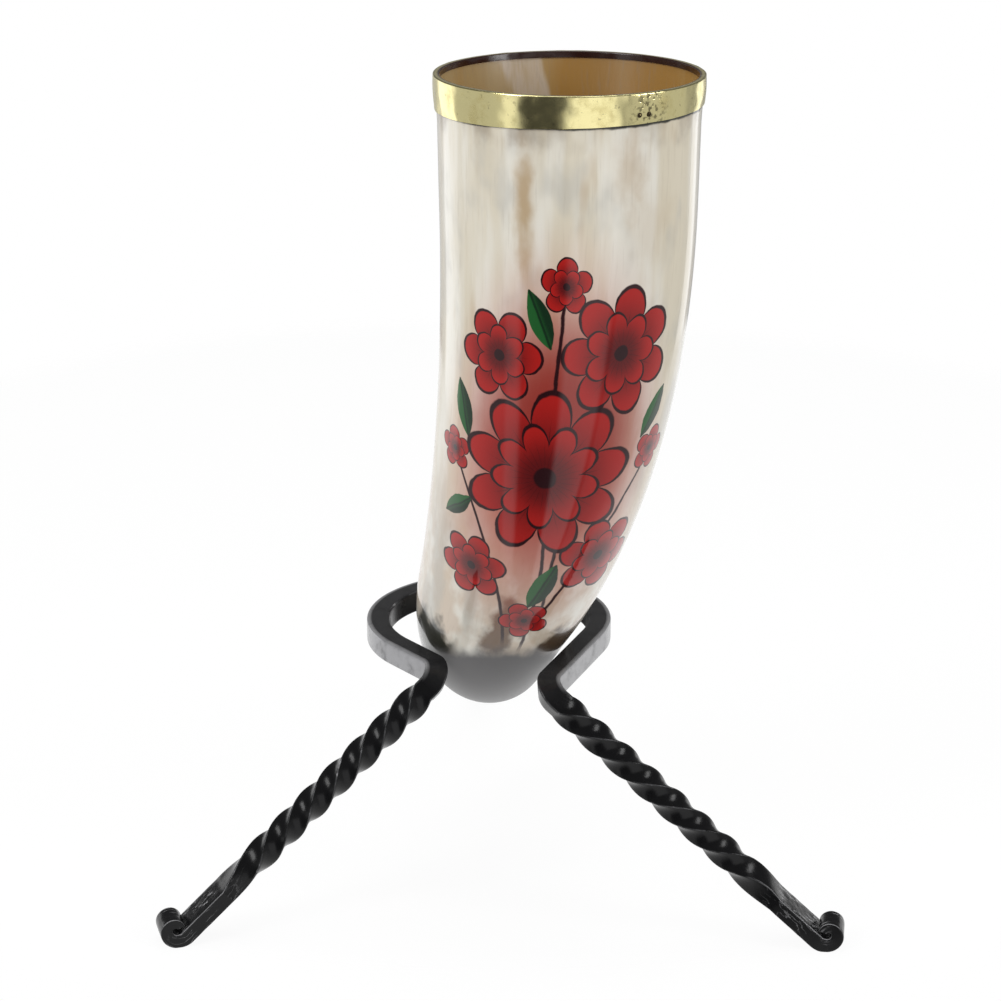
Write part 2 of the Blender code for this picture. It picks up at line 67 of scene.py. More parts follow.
# How finely the pieces are cut
HORN_SIDES = 120
HORN_STEP = 0.002
TIP_STEPS = 10
RIM_STEPS = 480
RIM_ROW = 0.0004
FOLD_STEPS = 6
RING_STEP = math.radians(2.5)
BEND_STEPS = 18
TWIST_STEP = 0.0005
FLAT_STEPS = 18
SCROLL_STEP = math.radians(4)
SLOPE_ROUNDS = 12
CORNER_STEPS = 4
SIDE_CUTS = 5
FLOOR_SIDES = 96
MERGE_DISTANCE = 1e-6
BAR_SHARP_ANGLE = math.radians(55)
HORN_SHARP_ANGLE = math.radians(60)

# Unevenness made by hand: how close together waves, dents and lumps are, for each metre
SKIN_WAVES = Vector((55, 55, 14))
BRASS_DENTS = 210
SOLDER_LUMPS = 400
FOOT_DENTS = 330

# Wear and painted sheen: where a bar's outer face starts on its section, how much painted sheen and worn
# metal the ring's other faces get, and how strongly the sides of the feet show hammer marks, scars and
# painted edge highlights
OUTER_FACE = 0.4
LIGHT_SHEEN_AND_RUB = 0.06
SIDE_SCARS = 0.3

# How far out a normal points on the band's outside, and the run below the mouth where waves set in
BAND_OUTWARD = 0.5
SMOOTH_MOUTH = 0.02

Arc = namedtuple("Arc", "centre inward heading radius")
Station = namedtuple(
    "Station", "point heading across up width height hammered rubbed", defaults=(0.0, 0.0))


# Settings

def length(name, description, default):
    return FloatProperty(name=name, description=description, default=default, unit="LENGTH", precision=5)


def turn(name, description, degrees):
    return FloatProperty(name=name, description=description, default=math.radians(degrees), unit="ROTATION")


def share(name, description, default):
    return FloatProperty(name=name, description=description, default=default)


def power(name, description, default):
    return FloatProperty(name=name, description=description, default=default, unit="POWER")


def place(name, description, default):
    return FloatVectorProperty(
        name=name, description=description, default=default, subtype="TRANSLATION", precision=5)


def colour(name, description, default):
    return FloatVectorProperty(
        name=name, description=description, default=default, subtype="COLOR", min=0, max=1)


class HornSizes(bpy.types.PropertyGroup):
    """Sizes of the horn, as in the packed part"""
    horn_radius: length("Horn radius", "Outer radius below the mouth", 0.0352)
    mouth_flare: length("Mouth flare", "How much wider the mouth's edge is", 0.0005)
    flare_length: length("Flare length", "Run over which the mouth widens", 0.012)
    mouth_wall: length("Mouth wall", "Thickness of the horn at the mouth", 0.0008)
    horn_wall: length("Horn wall", "Thickness of the horn below the mouth", 0.003)
    thinning_length: length("Thinning length", "Run over which the wall is scraped thin", 0.027)
    tip_radius: length("Tip radius", "Radius of the rounded tip", 0.0035)
    horn_length: length("Horn length", "Length along the centre line", 0.28)
    taper_power: share("Taper power", "How long the horn stays wide before it tapers", 2.2)
    cavity_depth: length("Cavity depth", "Depth of the hollow along the centre line", 0.18)
    cavity_bluntness: share("Cavity bluntness", "How blunt the hollow's end is", 4.0)
    straight_length: length("Straight length", "Straight run below the mouth", 0.035)
    wide_radius: length("Wide arc radius", "Radius of the upper curve", 0.217)
    wide_length: length("Wide arc length", "Length of the upper curve", 0.128)
    wide_side_turn: turn("Wide arc side turn", "Turn of the upper curve to the left of straight back", 28)
    tight_radius: length("Tight arc radius", "Radius of the curve to the tip", 0.08)
    tip_heading: place("Tip heading", "Way that the curve to the tip turns towards", (0.5, 1, 0))
    skin_unevenness: length("Skin unevenness", "How deep the polished skin's shallow waves are", 0.00025)


class RimSizes(bpy.types.PropertyGroup):
    """Sizes of the brass rim"""
    thickness: length("Thickness", "Thickness of the brass strip", 0.00035)
    fold_radius: length("Fold radius", "Outer radius of the two folds over the lip", 0.0003)
    outer_height: length("Outer height", "Height of the band outside", 0.0078)
    taper: share("Taper", "How much lower the band is on the left and higher on the right", 0.12)
    bulge: length("Bulge", "How far the band's outside swells", 0.00012)
    inner_height: length("Inner height", "Height of the turned-in strip", 0.0012)
    fit: length("Fit", "Gap between the brass and the horn", 0.00012)
    hammer_depth: length("Hammer depth", "Depth of the shallow hammer marks", 0.0001)
    seam_turn: turn("Seam turn", "Turn of the soldered seam to the right of the front", 33)
    seam_width: length("Seam width", "Half width of the lumpy solder beside the seam", 0.0065)
    solder_height: length("Solder height", "Height of the solder lumps", 0.00018)


class StandSizes(bpy.types.PropertyGroup):
    """Sizes and places of the stand's bars"""
    bar_size: length("Bar size", "Side of the square bar", 0.0068)
    corner_share: share("Corner share", "Rounding of the bar's edges as a share of its side", 0.08)
    ring_radius: length("Ring radius", "Radius of the ring's centre line", 0.0339)
    ring_centre: place("Ring centre", "Middle of the ring, at half its height", (-0.0033, -0.02102, 0.075))
    left_corner: place("Left corner", "Where the left leg leaves the ring", (-0.01675, -0.05892, 0.075))
    right_corner: place("Right corner", "Where the right leg leaves the ring", (0.01295, -0.07136, 0.075))
    left_foot: place("Left foot", "Lowest point of the left foot", (-0.095, -0.08202, 0))
    right_foot: place("Right foot", "Lowest point of the right foot", (0.0954, -0.08442, 0))
    rear_foot: place("Rear foot", "Lowest point of the rear foot", (-0.0053, 0.10698, 0))
    rivet_place: place("Rivet", "Axis of the rear leg's rivet", (-0.0183, 0.00938, 0))
    bend_inner_radius: length("Bend inner radius", "Inner radius of the bends", 0.0008)
    twist_turns: share("Twist turns", "Turns in each leg's twist, rounded to quarters against its foot", 1.8)
    twist_runout: length("Twist runout", "Run over which the twist runs out above a foot", 0.017)
    plain_length: length("Plain length", "Untwisted run below each bend", 0.002)
    flattening_length: length("Flattening length", "Run over which a leg is hammered flat", 0.012)
    foot_run: length("Foot run", "Straight flat run before the scroll", 0.0164)
    foot_widening: length("Foot widening", "How much wider than the bar a foot is", 0.0032)
    foot_narrowing: length("Foot narrowing", "How much narrower the scroll's end is", 0.0015)
    foot_thickness: length("Foot thickness", "Thickness of a foot where its scroll starts", 0.0048)
    foot_end_thickness: length("Foot end thickness", "Thickness at the scroll's end", 0.0026)
    scroll_start_radius: length("Scroll start radius", "Radius where the scroll starts", 0.0046)
    scroll_end_radius: length("Scroll end radius", "Radius where the scroll ends", 0.0021)
    scroll_tightening: share("Scroll tightening", "How soon the scroll becomes tight", 2.5)
    scroll_end_angle: turn("Scroll end angle", "Angle that the scroll turns past level", 250)
    foot_flat: length("Foot flat", "Depth of the flat under a foot", 0.0005)
    tab_widening: length("Tab widening", "How much wider than the bar the rear tab is", 0.003)
    tab_thickness: length("Tab thickness", "Thickness of the rear tab", 0.003)
    tab_neck: length("Tab neck", "Run from the tab to the full bar", 0.004)
    joint_gap: length("Joint gap", "Gap between the ring and the tab", 0.0003)
    hammer_depth: length("Hammer depth", "Depth of the hammer marks on the feet", 0.00015)


class HornColours(bpy.types.PropertyGroup):
    """Colours of the polished horn"""
    cream: colour("Cream", "Main colour of the horn", (0.66, 0.60, 0.475))
    pale: colour("Pale", "Palest streaks", (0.77, 0.74, 0.66))
    tan: colour("Tan", "Warm translucent patches", (0.45, 0.32, 0.18))
    grey: colour("Grey", "Cool clouds in the horn", (0.47, 0.455, 0.41))
    flush: colour("Flush", "Warm clouds low on the horn", (0.57, 0.445, 0.335))
    # olive also paints the shadow line along the lower edge of the brass band
    olive: colour("Olive", "Dark clouds near the tip", (0.030, 0.030, 0.022))
    # fibre also darkens patches just below the brass band
    fibre: colour("Fibre", "Thin dark fibres", (0.25, 0.19, 0.13))
    brown: colour("Brown", "Brown between the pale horn and the dark tip", (0.135, 0.074, 0.036))
    # tip is dark horn lightened to grey, partly painting the pale floor's reflection, since the coat is
    # mostly taken off there
    tip: colour("Tip", "Dark grey horn of the tip", (0.132, 0.129, 0.130))
    inside: colour("Inside", "Main colour of the hollow", (0.38, 0.265, 0.115))
    inside_pale: colour("Inside pale", "Pale streaks in the hollow", (0.50, 0.41, 0.31))
    inside_deep: colour("Inside deep", "Amber depth of the hollow", (0.33, 0.175, 0.038))


class PaintColours(bpy.types.PropertyGroup):
    """Colours of the painted flower spray"""
    red: colour("Red", "Petals", (0.40, 0.010, 0.008))
    deep_red: colour("Deep red", "Inner side of the petals", (0.11, 0.004, 0.005))
    maroon: colour("Maroon", "Outlines, stems and flower hearts", (0.020, 0.002, 0.004))
    glow: colour("Glow", "Soft airbrushed red round the flowers", (0.48, 0.085, 0.055))
    glow_deep: colour("Deep glow", "Airbrushed red behind the flowers", (0.26, 0.012, 0.009))
    green: colour("Green", "Leaves", (0.014, 0.10, 0.022))
    green_dark: colour("Dark green", "Shaded side of the leaves", (0.005, 0.025, 0.009))


class MetalColours(bpy.types.PropertyGroup):
    """Colours of the brass and the iron"""
    brass: colour("Brass", "Polished brass", (0.83, 0.75, 0.385))
    brass_worn: colour("Worn brass", "Dull patches on the brass", (0.62, 0.53, 0.23))
    brass_dirt: colour("Brass dirt", "Dirt in the solder and under the band", (0.03, 0.022, 0.014))
    # lip paints the dark reflection of the horn's hollow on the turned-in brass strip
    lip: colour("Lip", "Dark lacquer on the turned-in strip", (0.022, 0.006, 0.004))
    pin: colour("Pin", "Darkened pin heads", (0.04, 0.03, 0.018))
    iron: colour("Iron", "Black paint on the stand", (0.005, 0.005, 0.0055))
    iron_worn: colour("Worn iron", "Rubbed edges of the bars", (0.06, 0.06, 0.063))
    # This grey paints the side lamps' sheen on the ring's outer faces, a faint lighter tone on its other
    # faces and highlights along the feet's edges, together with worn metal, scuffs and hammer scars
    iron_bare: colour("Bare iron", "Outer side of the ring, rubbed bare", (0.36, 0.36, 0.37))


class StageSettings(bpy.types.PropertyGroup):
    """Camera, floor and light"""
    camera_place: place("Camera", "Place of the camera", (0.00025, -0.762014, 0.37039))
    camera_pitch: turn("Camera pitch", "Turn of the camera up from straight down", 71.02)
    lens: FloatProperty(name="Lens", description="Focal length", default=93.51, unit="CAMERA")
    sensor: FloatProperty(name="Sensor", description="Width of the sensor", default=36.0, unit="CAMERA")
    floor_middle: place("Floor middle", "Middle of the pale floor, behind the part", (0, 0.25, 0))
    floor_radius: length("Floor radius", "Radius of the pale floor", 0.385)
    floor_fade: length("Floor fade", "Radius where the floor starts to fade out", 0.335)
    floor_whiteness: share("Floor whiteness", "How much of the floor's look is plain white", 0.92)
    floor: colour("Floor", "Colour of the floor", (0.9, 0.9, 0.9))
    sky_light: share("Sky light", "Soft white light from all round", 0.56)
    key_power: power("Key power", "Power of the large left lamp", 6.4)
    fill_power: power("Fill power", "Power of the right lamp", 4.0)
    top_power: power("Top power", "Power of the lamp overhead", 3.4)


def settings_of(kind, name):
    return PointerProperty(type=kind, name=name, description=kind.__doc__)


class DrinkingHornSettings(bpy.types.PropertyGroup):
    """All settings of the drinking horn"""
    horn: settings_of(HornSizes, "Horn")
    rim: settings_of(RimSizes, "Rim")
    stand: settings_of(StandSizes, "Stand")
    horn_colours: settings_of(HornColours, "Horn colours")
    paint_colours: settings_of(PaintColours, "Paint colours")
    metal_colours: settings_of(MetalColours, "Metal colours")
    stage: settings_of(StageSettings, "Stage")


# Curves that the pieces follow

def steps_between(start, end, step):
    count = max(2, math.ceil(abs(end - start) / step))
    return [start + (end - start) * k / count for k in range(count + 1)]


def columns(first, second, third, origin):
    """Matrix from its three axes and its origin."""
    made = Matrix.Identity(4)
    for number, axis in enumerate((first, second, third)):
        made.col[number] = (*axis, 0)
    made.col[3] = (*origin, 1)
    return made


def arc_from(start, heading, inward, radius):
    return Arc(start + inward * radius, inward, heading, radius)


def along_arc(arc, distance):
    """Point and heading at a distance along an arc."""
    angle = distance / arc.radius
    point = arc.centre + arc.radius * (arc.heading * math.sin(angle) - arc.inward * math.cos(angle))
    return point, arc.heading * math.cos(angle) + arc.inward * math.sin(angle)


def mouth_centre(rim):
    middle = (RIM_LOW + RIM_HIGH) / 2
    return Vector((middle.x, middle.y, RIM_HIGH.z - rim.fit - rim.thickness))


class HornLine:
    """The horn's centre line and radii: straight below the mouth, a wide arc, then a tight arc to the tip."""

    def __init__(self, sizes, mouth):
        self.sizes = sizes
        self.mouth = mouth
        inward = Vector((-math.sin(sizes.wide_side_turn), math.cos(sizes.wide_side_turn), 0))
        self.wide = arc_from(mouth + DOWN * sizes.straight_length, DOWN, inward, sizes.wide_radius)
        start, heading = along_arc(self.wide, sizes.wide_length)
        normal = heading.cross(Vector(sizes.tip_heading)).normalized()
        self.tight = arc_from(start, heading, normal.cross(heading), sizes.tight_radius)

    def at(self, distance):
        past_straight = distance - self.sizes.straight_length
        if past_straight <= 0:
            return self.mouth + DOWN * distance, DOWN
        if past_straight <= self.sizes.wide_length:
            return along_arc(self.wide, past_straight)
        return along_arc(self.tight, past_straight - self.sizes.wide_length)

    def skin_radius(self, distance):
        sizes = self.sizes
        part = min(distance / sizes.horn_length, 1.0)
        taper = sizes.tip_radius + (sizes.horn_radius - sizes.tip_radius) * (1 - part ** sizes.taper_power)
        flare = sizes.mouth_flare * max(0.0, 1 - distance / sizes.flare_length)
        into_tip = max(0.0, distance - sizes.horn_length + sizes.tip_radius) / sizes.tip_radius
        return (taper + flare) * math.sqrt(max(0.0, 1 - into_tip ** 2))

    def hollow_radius(self, distance):
        sizes = self.sizes
        part = min(distance / sizes.cavity_depth, 1.0)
        thinning = min(distance / sizes.thinning_length, 1.0)
        wall = sizes.mouth_wall + (sizes.horn_wall - sizes.mouth_wall) * thinning
        return (self.skin_radius(distance) - wall) * math.sqrt(1 - part ** sizes.cavity_bluntness)

    def ring(self, distance, radius):
        """Matrix that puts a unit circle square to the centre line, +X to the right and +Y to the front."""
        point, heading = self.at(distance)
        right = (Vector((1, 0, 0)) - heading * heading.x).normalized()
        front = heading.cross(right)
        return columns(right * radius, front * radius, heading, point)


# Mesh helpers

def only(kind, geometry):
    return [item for item in geometry if isinstance(item, kind)]


def sweep(bm, edges, verts, rings):
    """Extrude a loop of edges from ring to ring, and give each ring's vertices with their places in it."""
    before = Matrix.Identity(4)
    for number, ring in enumerate(rings):
        if number:
            made = bmesh.ops.extrude_edge_only(bm, edges=edges)["geom"]
            edges = only(bmesh.types.BMEdge, made)
            verts = only(bmesh.types.BMVert, made)
        bmesh.ops.transform(bm, matrix=ring @ before.inverted(), verts=verts)
        back = ring.inverted()
        yield [(vert, back @ vert.co) for vert in verts]
        before = ring


def face_outwards(bm):
    bmesh.ops.recalc_face_normals(bm, faces=bm.faces)
    bm.normal_update()


def new_piece(name, bm, materials, sharp_angle):
    """Put a finished bmesh into the scene as one piece, smooth except at its sharp edges."""
    mesh = bpy.data.meshes.new(name)
    bm.to_mesh(mesh)
    bm.free()
    mesh.shade_smooth()
    mesh.set_sharp_from_angle(angle=sharp_angle)
    for material in materials:
        mesh.materials.append(material)
    piece = bpy.data.objects.new(name, mesh)
    bpy.context.scene.collection.objects.link(piece)
    return piece


def settle(piece, body, slot, *nodes):
    """Ride a piece on its body, in place of CAD nodes."""
    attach(piece, body)
    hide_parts(*nodes)


def finish_nodes(material, *nodes):
    """Give CAD nodes that keep their shape a better material."""
    for node in nodes:
        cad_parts[node].data.materials.clear()
        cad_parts[node].data.materials.append(material)


# Shader helpers

class Field:
    """A value in a node tree. Its operators add nodes, so that a pattern reads like a formula."""

    def __init__(self, nodes, socket):
        self.nodes = nodes
        self.socket = socket

    def __add__(self, other):
        return self.nodes.math("ADD", self, other)

    def __sub__(self, other):
        return self.nodes.math("SUBTRACT", self, other)

    def __rsub__(self, other):
        return self.nodes.math("SUBTRACT", other, self)

    def __mul__(self, other):
        return self.nodes.math("MULTIPLY", self, other)

    def __truediv__(self, other):
        return self.nodes.math("DIVIDE", self, other)

    def __rtruediv__(self, other):
        return self.nodes.math("DIVIDE", other, self)

    def __abs__(self):
        return self.nodes.math("ABSOLUTE", self)

    def most(self, other):
        return self.nodes.math("MAXIMUM", self, other)

    def fade(self, low, high):
        """0 below low and 1 above high, with a soft step between. It falls where low is above high."""
        limits = {"Value": self, "From Min": low, "From Max": high}
        return self.nodes.field("Result", "ShaderNodeMapRange", limits, interpolation_type="SMOOTHSTEP")


class Nodes:
    """Adds nodes to a tree and links them."""

    def __init__(self, tree):
        self.tree = tree

    def set(self, node, inputs):
        """Feed a node's inputs, by name or number, from fields, sockets, numbers or colours."""
        for name, value in inputs.items():
            socket = node.inputs[name]
            if isinstance(value, Field):
                value = value.socket
            if isinstance(value, bpy.types.NodeSocket):
                self.tree.links.new(value, socket)
            elif socket.type == "RGBA":
                socket.default_value = (*value, 1)
            else:
                socket.default_value = value

    def add(self, kind, inputs=None, **settings):
        node = self.tree.nodes.new(kind)
        for name, value in settings.items():
            setattr(node, name, value)
        self.set(node, inputs or {})
        return node

    def field(self, output, kind, inputs=None, **settings):
        return Field(self, self.add(kind, inputs, **settings).outputs[output])

    def math(self, operation, *values):
        return self.field(0, "ShaderNodeMath", dict(enumerate(values)), operation=operation)

    def vector(self, operation, *values):
        output = "Value" if operation == "LENGTH" else "Vector"
        return self.field(output, "ShaderNodeVectorMath", dict(enumerate(values)), operation=operation)

    def combine(self, *values):
        return self.field(0, "ShaderNodeCombineXYZ", dict(enumerate(values)))

    def split(self, vector):
        return [Field(self, part) for part in self.add("ShaderNodeSeparateXYZ", {"Vector": vector}).outputs]

    def place(self):
        return self.field("Object", "ShaderNodeTexCoord")

    def attribute(self, name, output="Fac"):
        return self.field(output, "ShaderNodeAttribute", attribute_name=name)

    def mix(self, factor, first, second):
        return self.field(2, "ShaderNodeMix", {0: factor, 6: first, 7: second}, data_type="RGBA")

    def noise(self, vector, scale, detail=3.0, roughness=0.5):
        inputs = {"Vector": vector, "Scale": scale, "Detail": detail, "Roughness": roughness}
        return self.field(0, "ShaderNodeTexNoise", inputs)

    def bump(self, height, strength, distance):
        inputs = {"Height": height, "Strength": strength, "Distance": distance}
        return self.field("Normal", "ShaderNodeBump", inputs)

    def group(self, make, **inputs):
        """Place a node group, which its function builds the first time."""
        tree = bpy.data.node_groups.get(make.__name__) or make(make.__name__)
        outputs = self.add("ShaderNodeGroup", inputs, node_tree=tree).outputs
        return {socket.name: Field(self, socket) for socket in outputs}

    def streak(self, vector, around, along, offset):
        return self.group(streaks, Vector=vector, Around=around, Along=along, Offset=offset)["Value"]

    def seen_by(self, *rays):
        """1 for rays of the named kinds."""
        outputs = self.add("ShaderNodeLightPath").outputs
        return reduce(Field.most, [Field(self, outputs[ray]) for ray in rays])

    def blend(self, factor, first, second):
        return self.add("ShaderNodeMixShader", {0: factor, 1: first, 2: second}).outputs[0]


VECTOR_SOCKETS = ("Vector", "Centre")


def new_group(name, inputs, outputs):
    """An empty node group: its helper, the fields of its float or vector inputs, and its output node."""
    tree = bpy.data.node_groups.new(name, "ShaderNodeTree")
    for socket in inputs:
        kind = "NodeSocketVector" if socket in VECTOR_SOCKETS else "NodeSocketFloat"
        tree.interface.new_socket(name=socket, in_out="INPUT", socket_type=kind)
    for socket in outputs:
        tree.interface.new_socket(name=socket, in_out="OUTPUT", socket_type="NodeSocketFloat")
    nodes = Nodes(tree)
    given = tree.nodes.new("NodeGroupInput").outputs
    return nodes, [Field(nodes, given[socket]) for socket in inputs], tree.nodes.new("NodeGroupOutput")


def new_material(name, roughness, metallic=0.0):
    """A material with its node helper and its Principled shader."""
    made = bpy.data.materials.new(name)
    made.use_nodes = True
    nodes = Nodes(made.node_tree)
    shader = made.node_tree.nodes["Principled BSDF"]
    nodes.set(shader, {"Roughness": roughness, "Metallic": metallic})
    return made, nodes, shader


# Patterns that materials share

DENT_SMOOTHNESS = 0.6
PETAL_DEPTH = 0.40
PETAL_ROUNDING = 0.6
PETAL_VEINS = 3.0


def streaks(name):
    """Noise drawn out along a piece: Around and Along are the sizes of its grains."""
    inputs = ("Vector", "Around", "Along", "Offset")
    nodes, (vector, around, along, offset), result = new_group(name, inputs, ("Value",))
    across = 1.0 / around
    drawn = nodes.vector("MULTIPLY", vector, nodes.combine(across, across, 1.0 / along))
    nodes.set(result, {"Value": nodes.noise(nodes.vector("ADD", drawn, offset), 1.0)})
    return nodes.tree


def hammer_marks(name):
    """Overlapping shallow dents, for a bump."""
    nodes, (vector, scale), result = new_group(name, ("Vector", "Scale"), ("Height",))
    inputs = {"Vector": vector, "Scale": scale, "Smoothness": DENT_SMOOTHNESS}
    dents = nodes.field("Distance", "ShaderNodeTexVoronoi", inputs, feature="SMOOTH_F1")
    nodes.set(result, {"Height": dents})
    return nodes.tree


def painted_flower(name):
    """Petals round a heart, with outlines, veins and a shade that deepens inwards."""
    inputs = ("Vector", "Centre", "Radius", "Petals", "Turn")
    outputs = ("Petal", "Line", "Heart", "Shade")
    nodes, (vector, centre, radius, petals, angle), result = new_group(name, inputs, outputs)
    offset = nodes.vector("SUBTRACT", vector, centre)
    across, down, _ = nodes.split(offset)
    reach = nodes.vector("LENGTH", offset) / radius
    half = (nodes.math("ARCTAN2", down, across) + angle) * petals * 0.5
    wave = nodes.math("POWER", abs(nodes.math("COSINE", half)), PETAL_ROUNDING)
    gap = wave * PETAL_DEPTH + (1.0 - PETAL_DEPTH) - reach
    outline = abs(gap - 0.02).fade(0.045, 0.02)
    vein = abs(nodes.math("SINE", half * PETAL_VEINS)).fade(0.14, 0.02) * reach.fade(0.75, 0.3)
    nodes.set(result, {
        "Petal": gap.fade(-0.01, 0.03),
        "Line": outline.most(vein) * gap.fade(-0.05, 0.0),
        "Heart": reach.fade(0.22, 0.17),
        "Shade": reach.fade(0.95, 0.25),
    })
    return nodes.tree


def painted_leaf(name):
    """An almond with a midrib and a shaded side."""
    inputs = ("Vector", "Centre", "Length", "Width", "Turn")
    nodes, (vector, centre, reach, width, angle), result = new_group(name, inputs, ("Leaf", "Rib", "Side"))
    turned_leaf = {"Vector": nodes.vector("SUBTRACT", vector, centre), "Angle": angle}
    rotated = nodes.field(0, "ShaderNodeVectorRotate", turned_leaf, rotation_type="Z_AXIS")
    along, aside, _ = nodes.split(rotated)
    part = along / reach
    belly = 1.0 - part * part
    level = aside / width
    nodes.set(result, {
        "Leaf": (belly - abs(level)).fade(-0.04, 0.04),
        "Rib": abs(level).fade(0.16, 0.05) * belly.fade(0.0, 0.1),
        "Side": level.fade(-0.3, 0.5),
    })
    return nodes.tree


def ellipse(nodes, uv, across, down, half_width, half_length):
    """Distance from the middle of an ellipse on the unrolled horn, 1 at its edge."""
    offset = nodes.vector("SUBTRACT", uv, (across, down, 0))
    return nodes.vector("LENGTH", nodes.vector("DIVIDE", offset, (half_width, half_length, 1)))


# Painting: places are across the unrolled front and down from the mouth

FLOWERS = (
    # across, down, radius, petals, turn
    (-0.0010, 0.0475, 0.0070, 5, 0.3),
    (0.0305, 0.0930, 0.0065, 5, 0.0),
    (-0.0310, 0.1000, 0.0065, 5, 0.6),
    (0.0020, 0.1480, 0.0075, 5, 0.9),
    (0.0150, 0.0640, 0.0165, 7, 0.5),
    (-0.0185, 0.0670, 0.0125, 6, 0.1),
    (0.0190, 0.1240, 0.0130, 6, 0.8),
    (-0.0175, 0.1340, 0.0110, 6, 0.4),
    (-0.0020, 0.0980, 0.0245, 9, 0.2),
)
INNER_PETALS = 0.64
LEAVES = (
    # across, down, half length, half width, turn in degrees
    (-0.0075, 0.0560, 0.0080, 0.0030, 115),
    (0.0290, 0.0820, 0.0075, 0.0028, 60),
    (-0.0290, 0.0860, 0.0085, 0.0031, 110),
    (0.0040, 0.1340, 0.0090, 0.0034, 75),
    (-0.0265, 0.1170, 0.0070, 0.0027, 50),
)
STEMS = (
    # across at the top, down at the top, down at the foot, slope, bow
    (-0.0010, 0.0475, 0.0980, -0.004, 0.003),
    (0.0305, 0.0930, 0.1580, -0.040, 0.012),
    (-0.0310, 0.1000, 0.1620, 0.048, -0.018),
    (0.0150, 0.0640, 0.1500, -0.030, 0.022),
    (-0.0020, 0.0980, 0.1640, 0.012, -0.006),
)
STEM_EDGE = (0.0007, 0.0003)
BRUSH_WOBBLE = 0.0008
WOBBLES = 260.0
# across, down, half width, half length
GLOW = (-0.001, 0.094, 0.040, 0.066)
DEEP_GLOW = (0.0, 0.086, 0.030, 0.042)
GLOW_STRENGTH = 0.8
DEEP_GLOW_STRENGTH = 0.85


def paint_over(nodes, base, uv, colours):
    """Lay the flower spray over the horn's own colour."""
    painted = base
    glows = ((GLOW, GLOW_STRENGTH, colours.glow), (DEEP_GLOW, DEEP_GLOW_STRENGTH, colours.glow_deep))
    for shape, strength, tone in glows:
        painted = nodes.mix(ellipse(nodes, uv, *shape).fade(1.0, 0.3) * strength, painted, tone)
    u, v, _ = nodes.split(uv)
    for across, top, foot, slope, bow in STEMS:
        part = (v - top) / (foot - top)
        aside = abs(u - (part * (part * bow + slope) + across))
        stem = aside.fade(*STEM_EDGE) * part.fade(0.0, 0.05) * part.fade(1.0, 0.9)
        painted = nodes.mix(stem, painted, colours.maroon)
    for across, down, long, wide, degrees in LEAVES:
        shape = nodes.group(painted_leaf, Vector=uv, Centre=(across, down, 0), Length=long, Width=wide,
                            Turn=math.radians(degrees))
        tone = nodes.mix(shape["Side"], colours.green, colours.green_dark)
        painted = nodes.mix(shape["Leaf"], painted, tone)
        painted = nodes.mix(shape["Rib"], painted, colours.green_dark)
    for across, down, radius, petals, angle in FLOWERS:
        for size, roll in ((radius, angle), (radius * INNER_PETALS, angle + math.pi / petals)):
            shape = nodes.group(painted_flower, Vector=uv, Centre=(across, down, 0), Radius=size,
                                Petals=petals, Turn=roll)
            tone = nodes.mix(shape["Shade"], colours.red, colours.deep_red)
            painted = nodes.mix(shape["Petal"], painted, tone)
            painted = nodes.mix(shape["Line"].most(shape["Heart"]), painted, colours.maroon)
    return painted


# Horn

# Streaks: a grain's size around and along, and an offset that keeps the patterns apart
BROAD = (0.010, 0.075, 0.0)
CLOUD = (0.013, 0.024, 4.7)
WARM = (0.009, 0.035, 9.1)
FINE = (0.0007, 0.011, 2.3)
RAGGED = (0.005, 0.007, 6.4)
SOFT = (0.008, 0.012, 7.7)
HOLLOW_BROAD = (0.008, 0.12, 3.2)
HOLLOW_FINE = (0.0009, 0.03, 5.5)

TAN_MARKS = (
    # across, down, half width, half length, strength
    (-0.0124, 0.026, 0.0028, 0.016, 0.85),
    (0.0160, 0.019, 0.0050, 0.010, 0.45),
    (0.0225, 0.034, 0.0080, 0.010, 0.25),
)
BROWN_MARK = (-0.0036, 0.1535, 0.0040, 0.012)
LOW_HORN = (0.100, 0.140)
# The dark tip's edge falls towards the back, dark patches rise above it at both sides, and the end of the
# horn is dark all round
TIP_TILT = 0.412
TIP_EDGE = (0.0600, 0.0555)
PATCH_EDGE = (0.0605, 0.0555)
LEFT_PATCH_RISE = 0.012
RIGHT_PATCH_RISE = 0.0075
DARK_RUN = (0.212, 0.225)
# Darker patches just below the band, and a painted shadow line along its lower edge, which follows the band's
# taper
BELOW_BAND_PATCHES = (0.0155, 0.0085)
BAND_SHADOW_LINE = (0.0084, 0.0078)
BAND_EDGE_TILT = 0.00094
RIGHT_SHADOW_WIDENING = 0.0006
# How far the ragged streaks move the edges of all these
TAN_RAGGED = 1.6
BROWN_RAGGED = 1.5
PATCH_RAGGED = 0.014
TIP_RAGGED = 0.004
BELOW_BAND_PATCHES_RAGGED = 0.012
SHADOW_LINE_RAGGED = 0.0012
# Pale streak at the back of the hollow: how far left it starts, its slope to the right, its wander and edge
STREAK_START = 0.008
STREAK_SLOPE = 0.35
STREAK_WANDER = 0.010
STREAK_EDGE = (0.0065, 0.0045)
# Bumps: strength, distance
HORN_BUMP = (0.06, 0.0003)
HOLLOW_BUMP = (0.2, 0.0004)

Skin = namedtuple("Skin", "straight around down uv broad cloud warm fine soft uneven")


def horn_skin(nodes):
    """Places on the unbent and on the unrolled horn, with the streaks and clouds that run along it."""
    straight = nodes.attribute("straight", "Vector")
    x, y, down = nodes.split(straight)
    around = nodes.math("ARCTAN2", x, y)
    radius = nodes.vector("LENGTH", nodes.vector("MULTIPLY", straight, (1, 1, 0)))
    grains = [nodes.streak(straight, *sizes) for sizes in (BROAD, CLOUD, WARM, FINE, SOFT)]
    uneven = nodes.streak(straight, *RAGGED) - 0.5
    return Skin(straight, around, down, nodes.combine(around * radius, down), *grains, uneven)


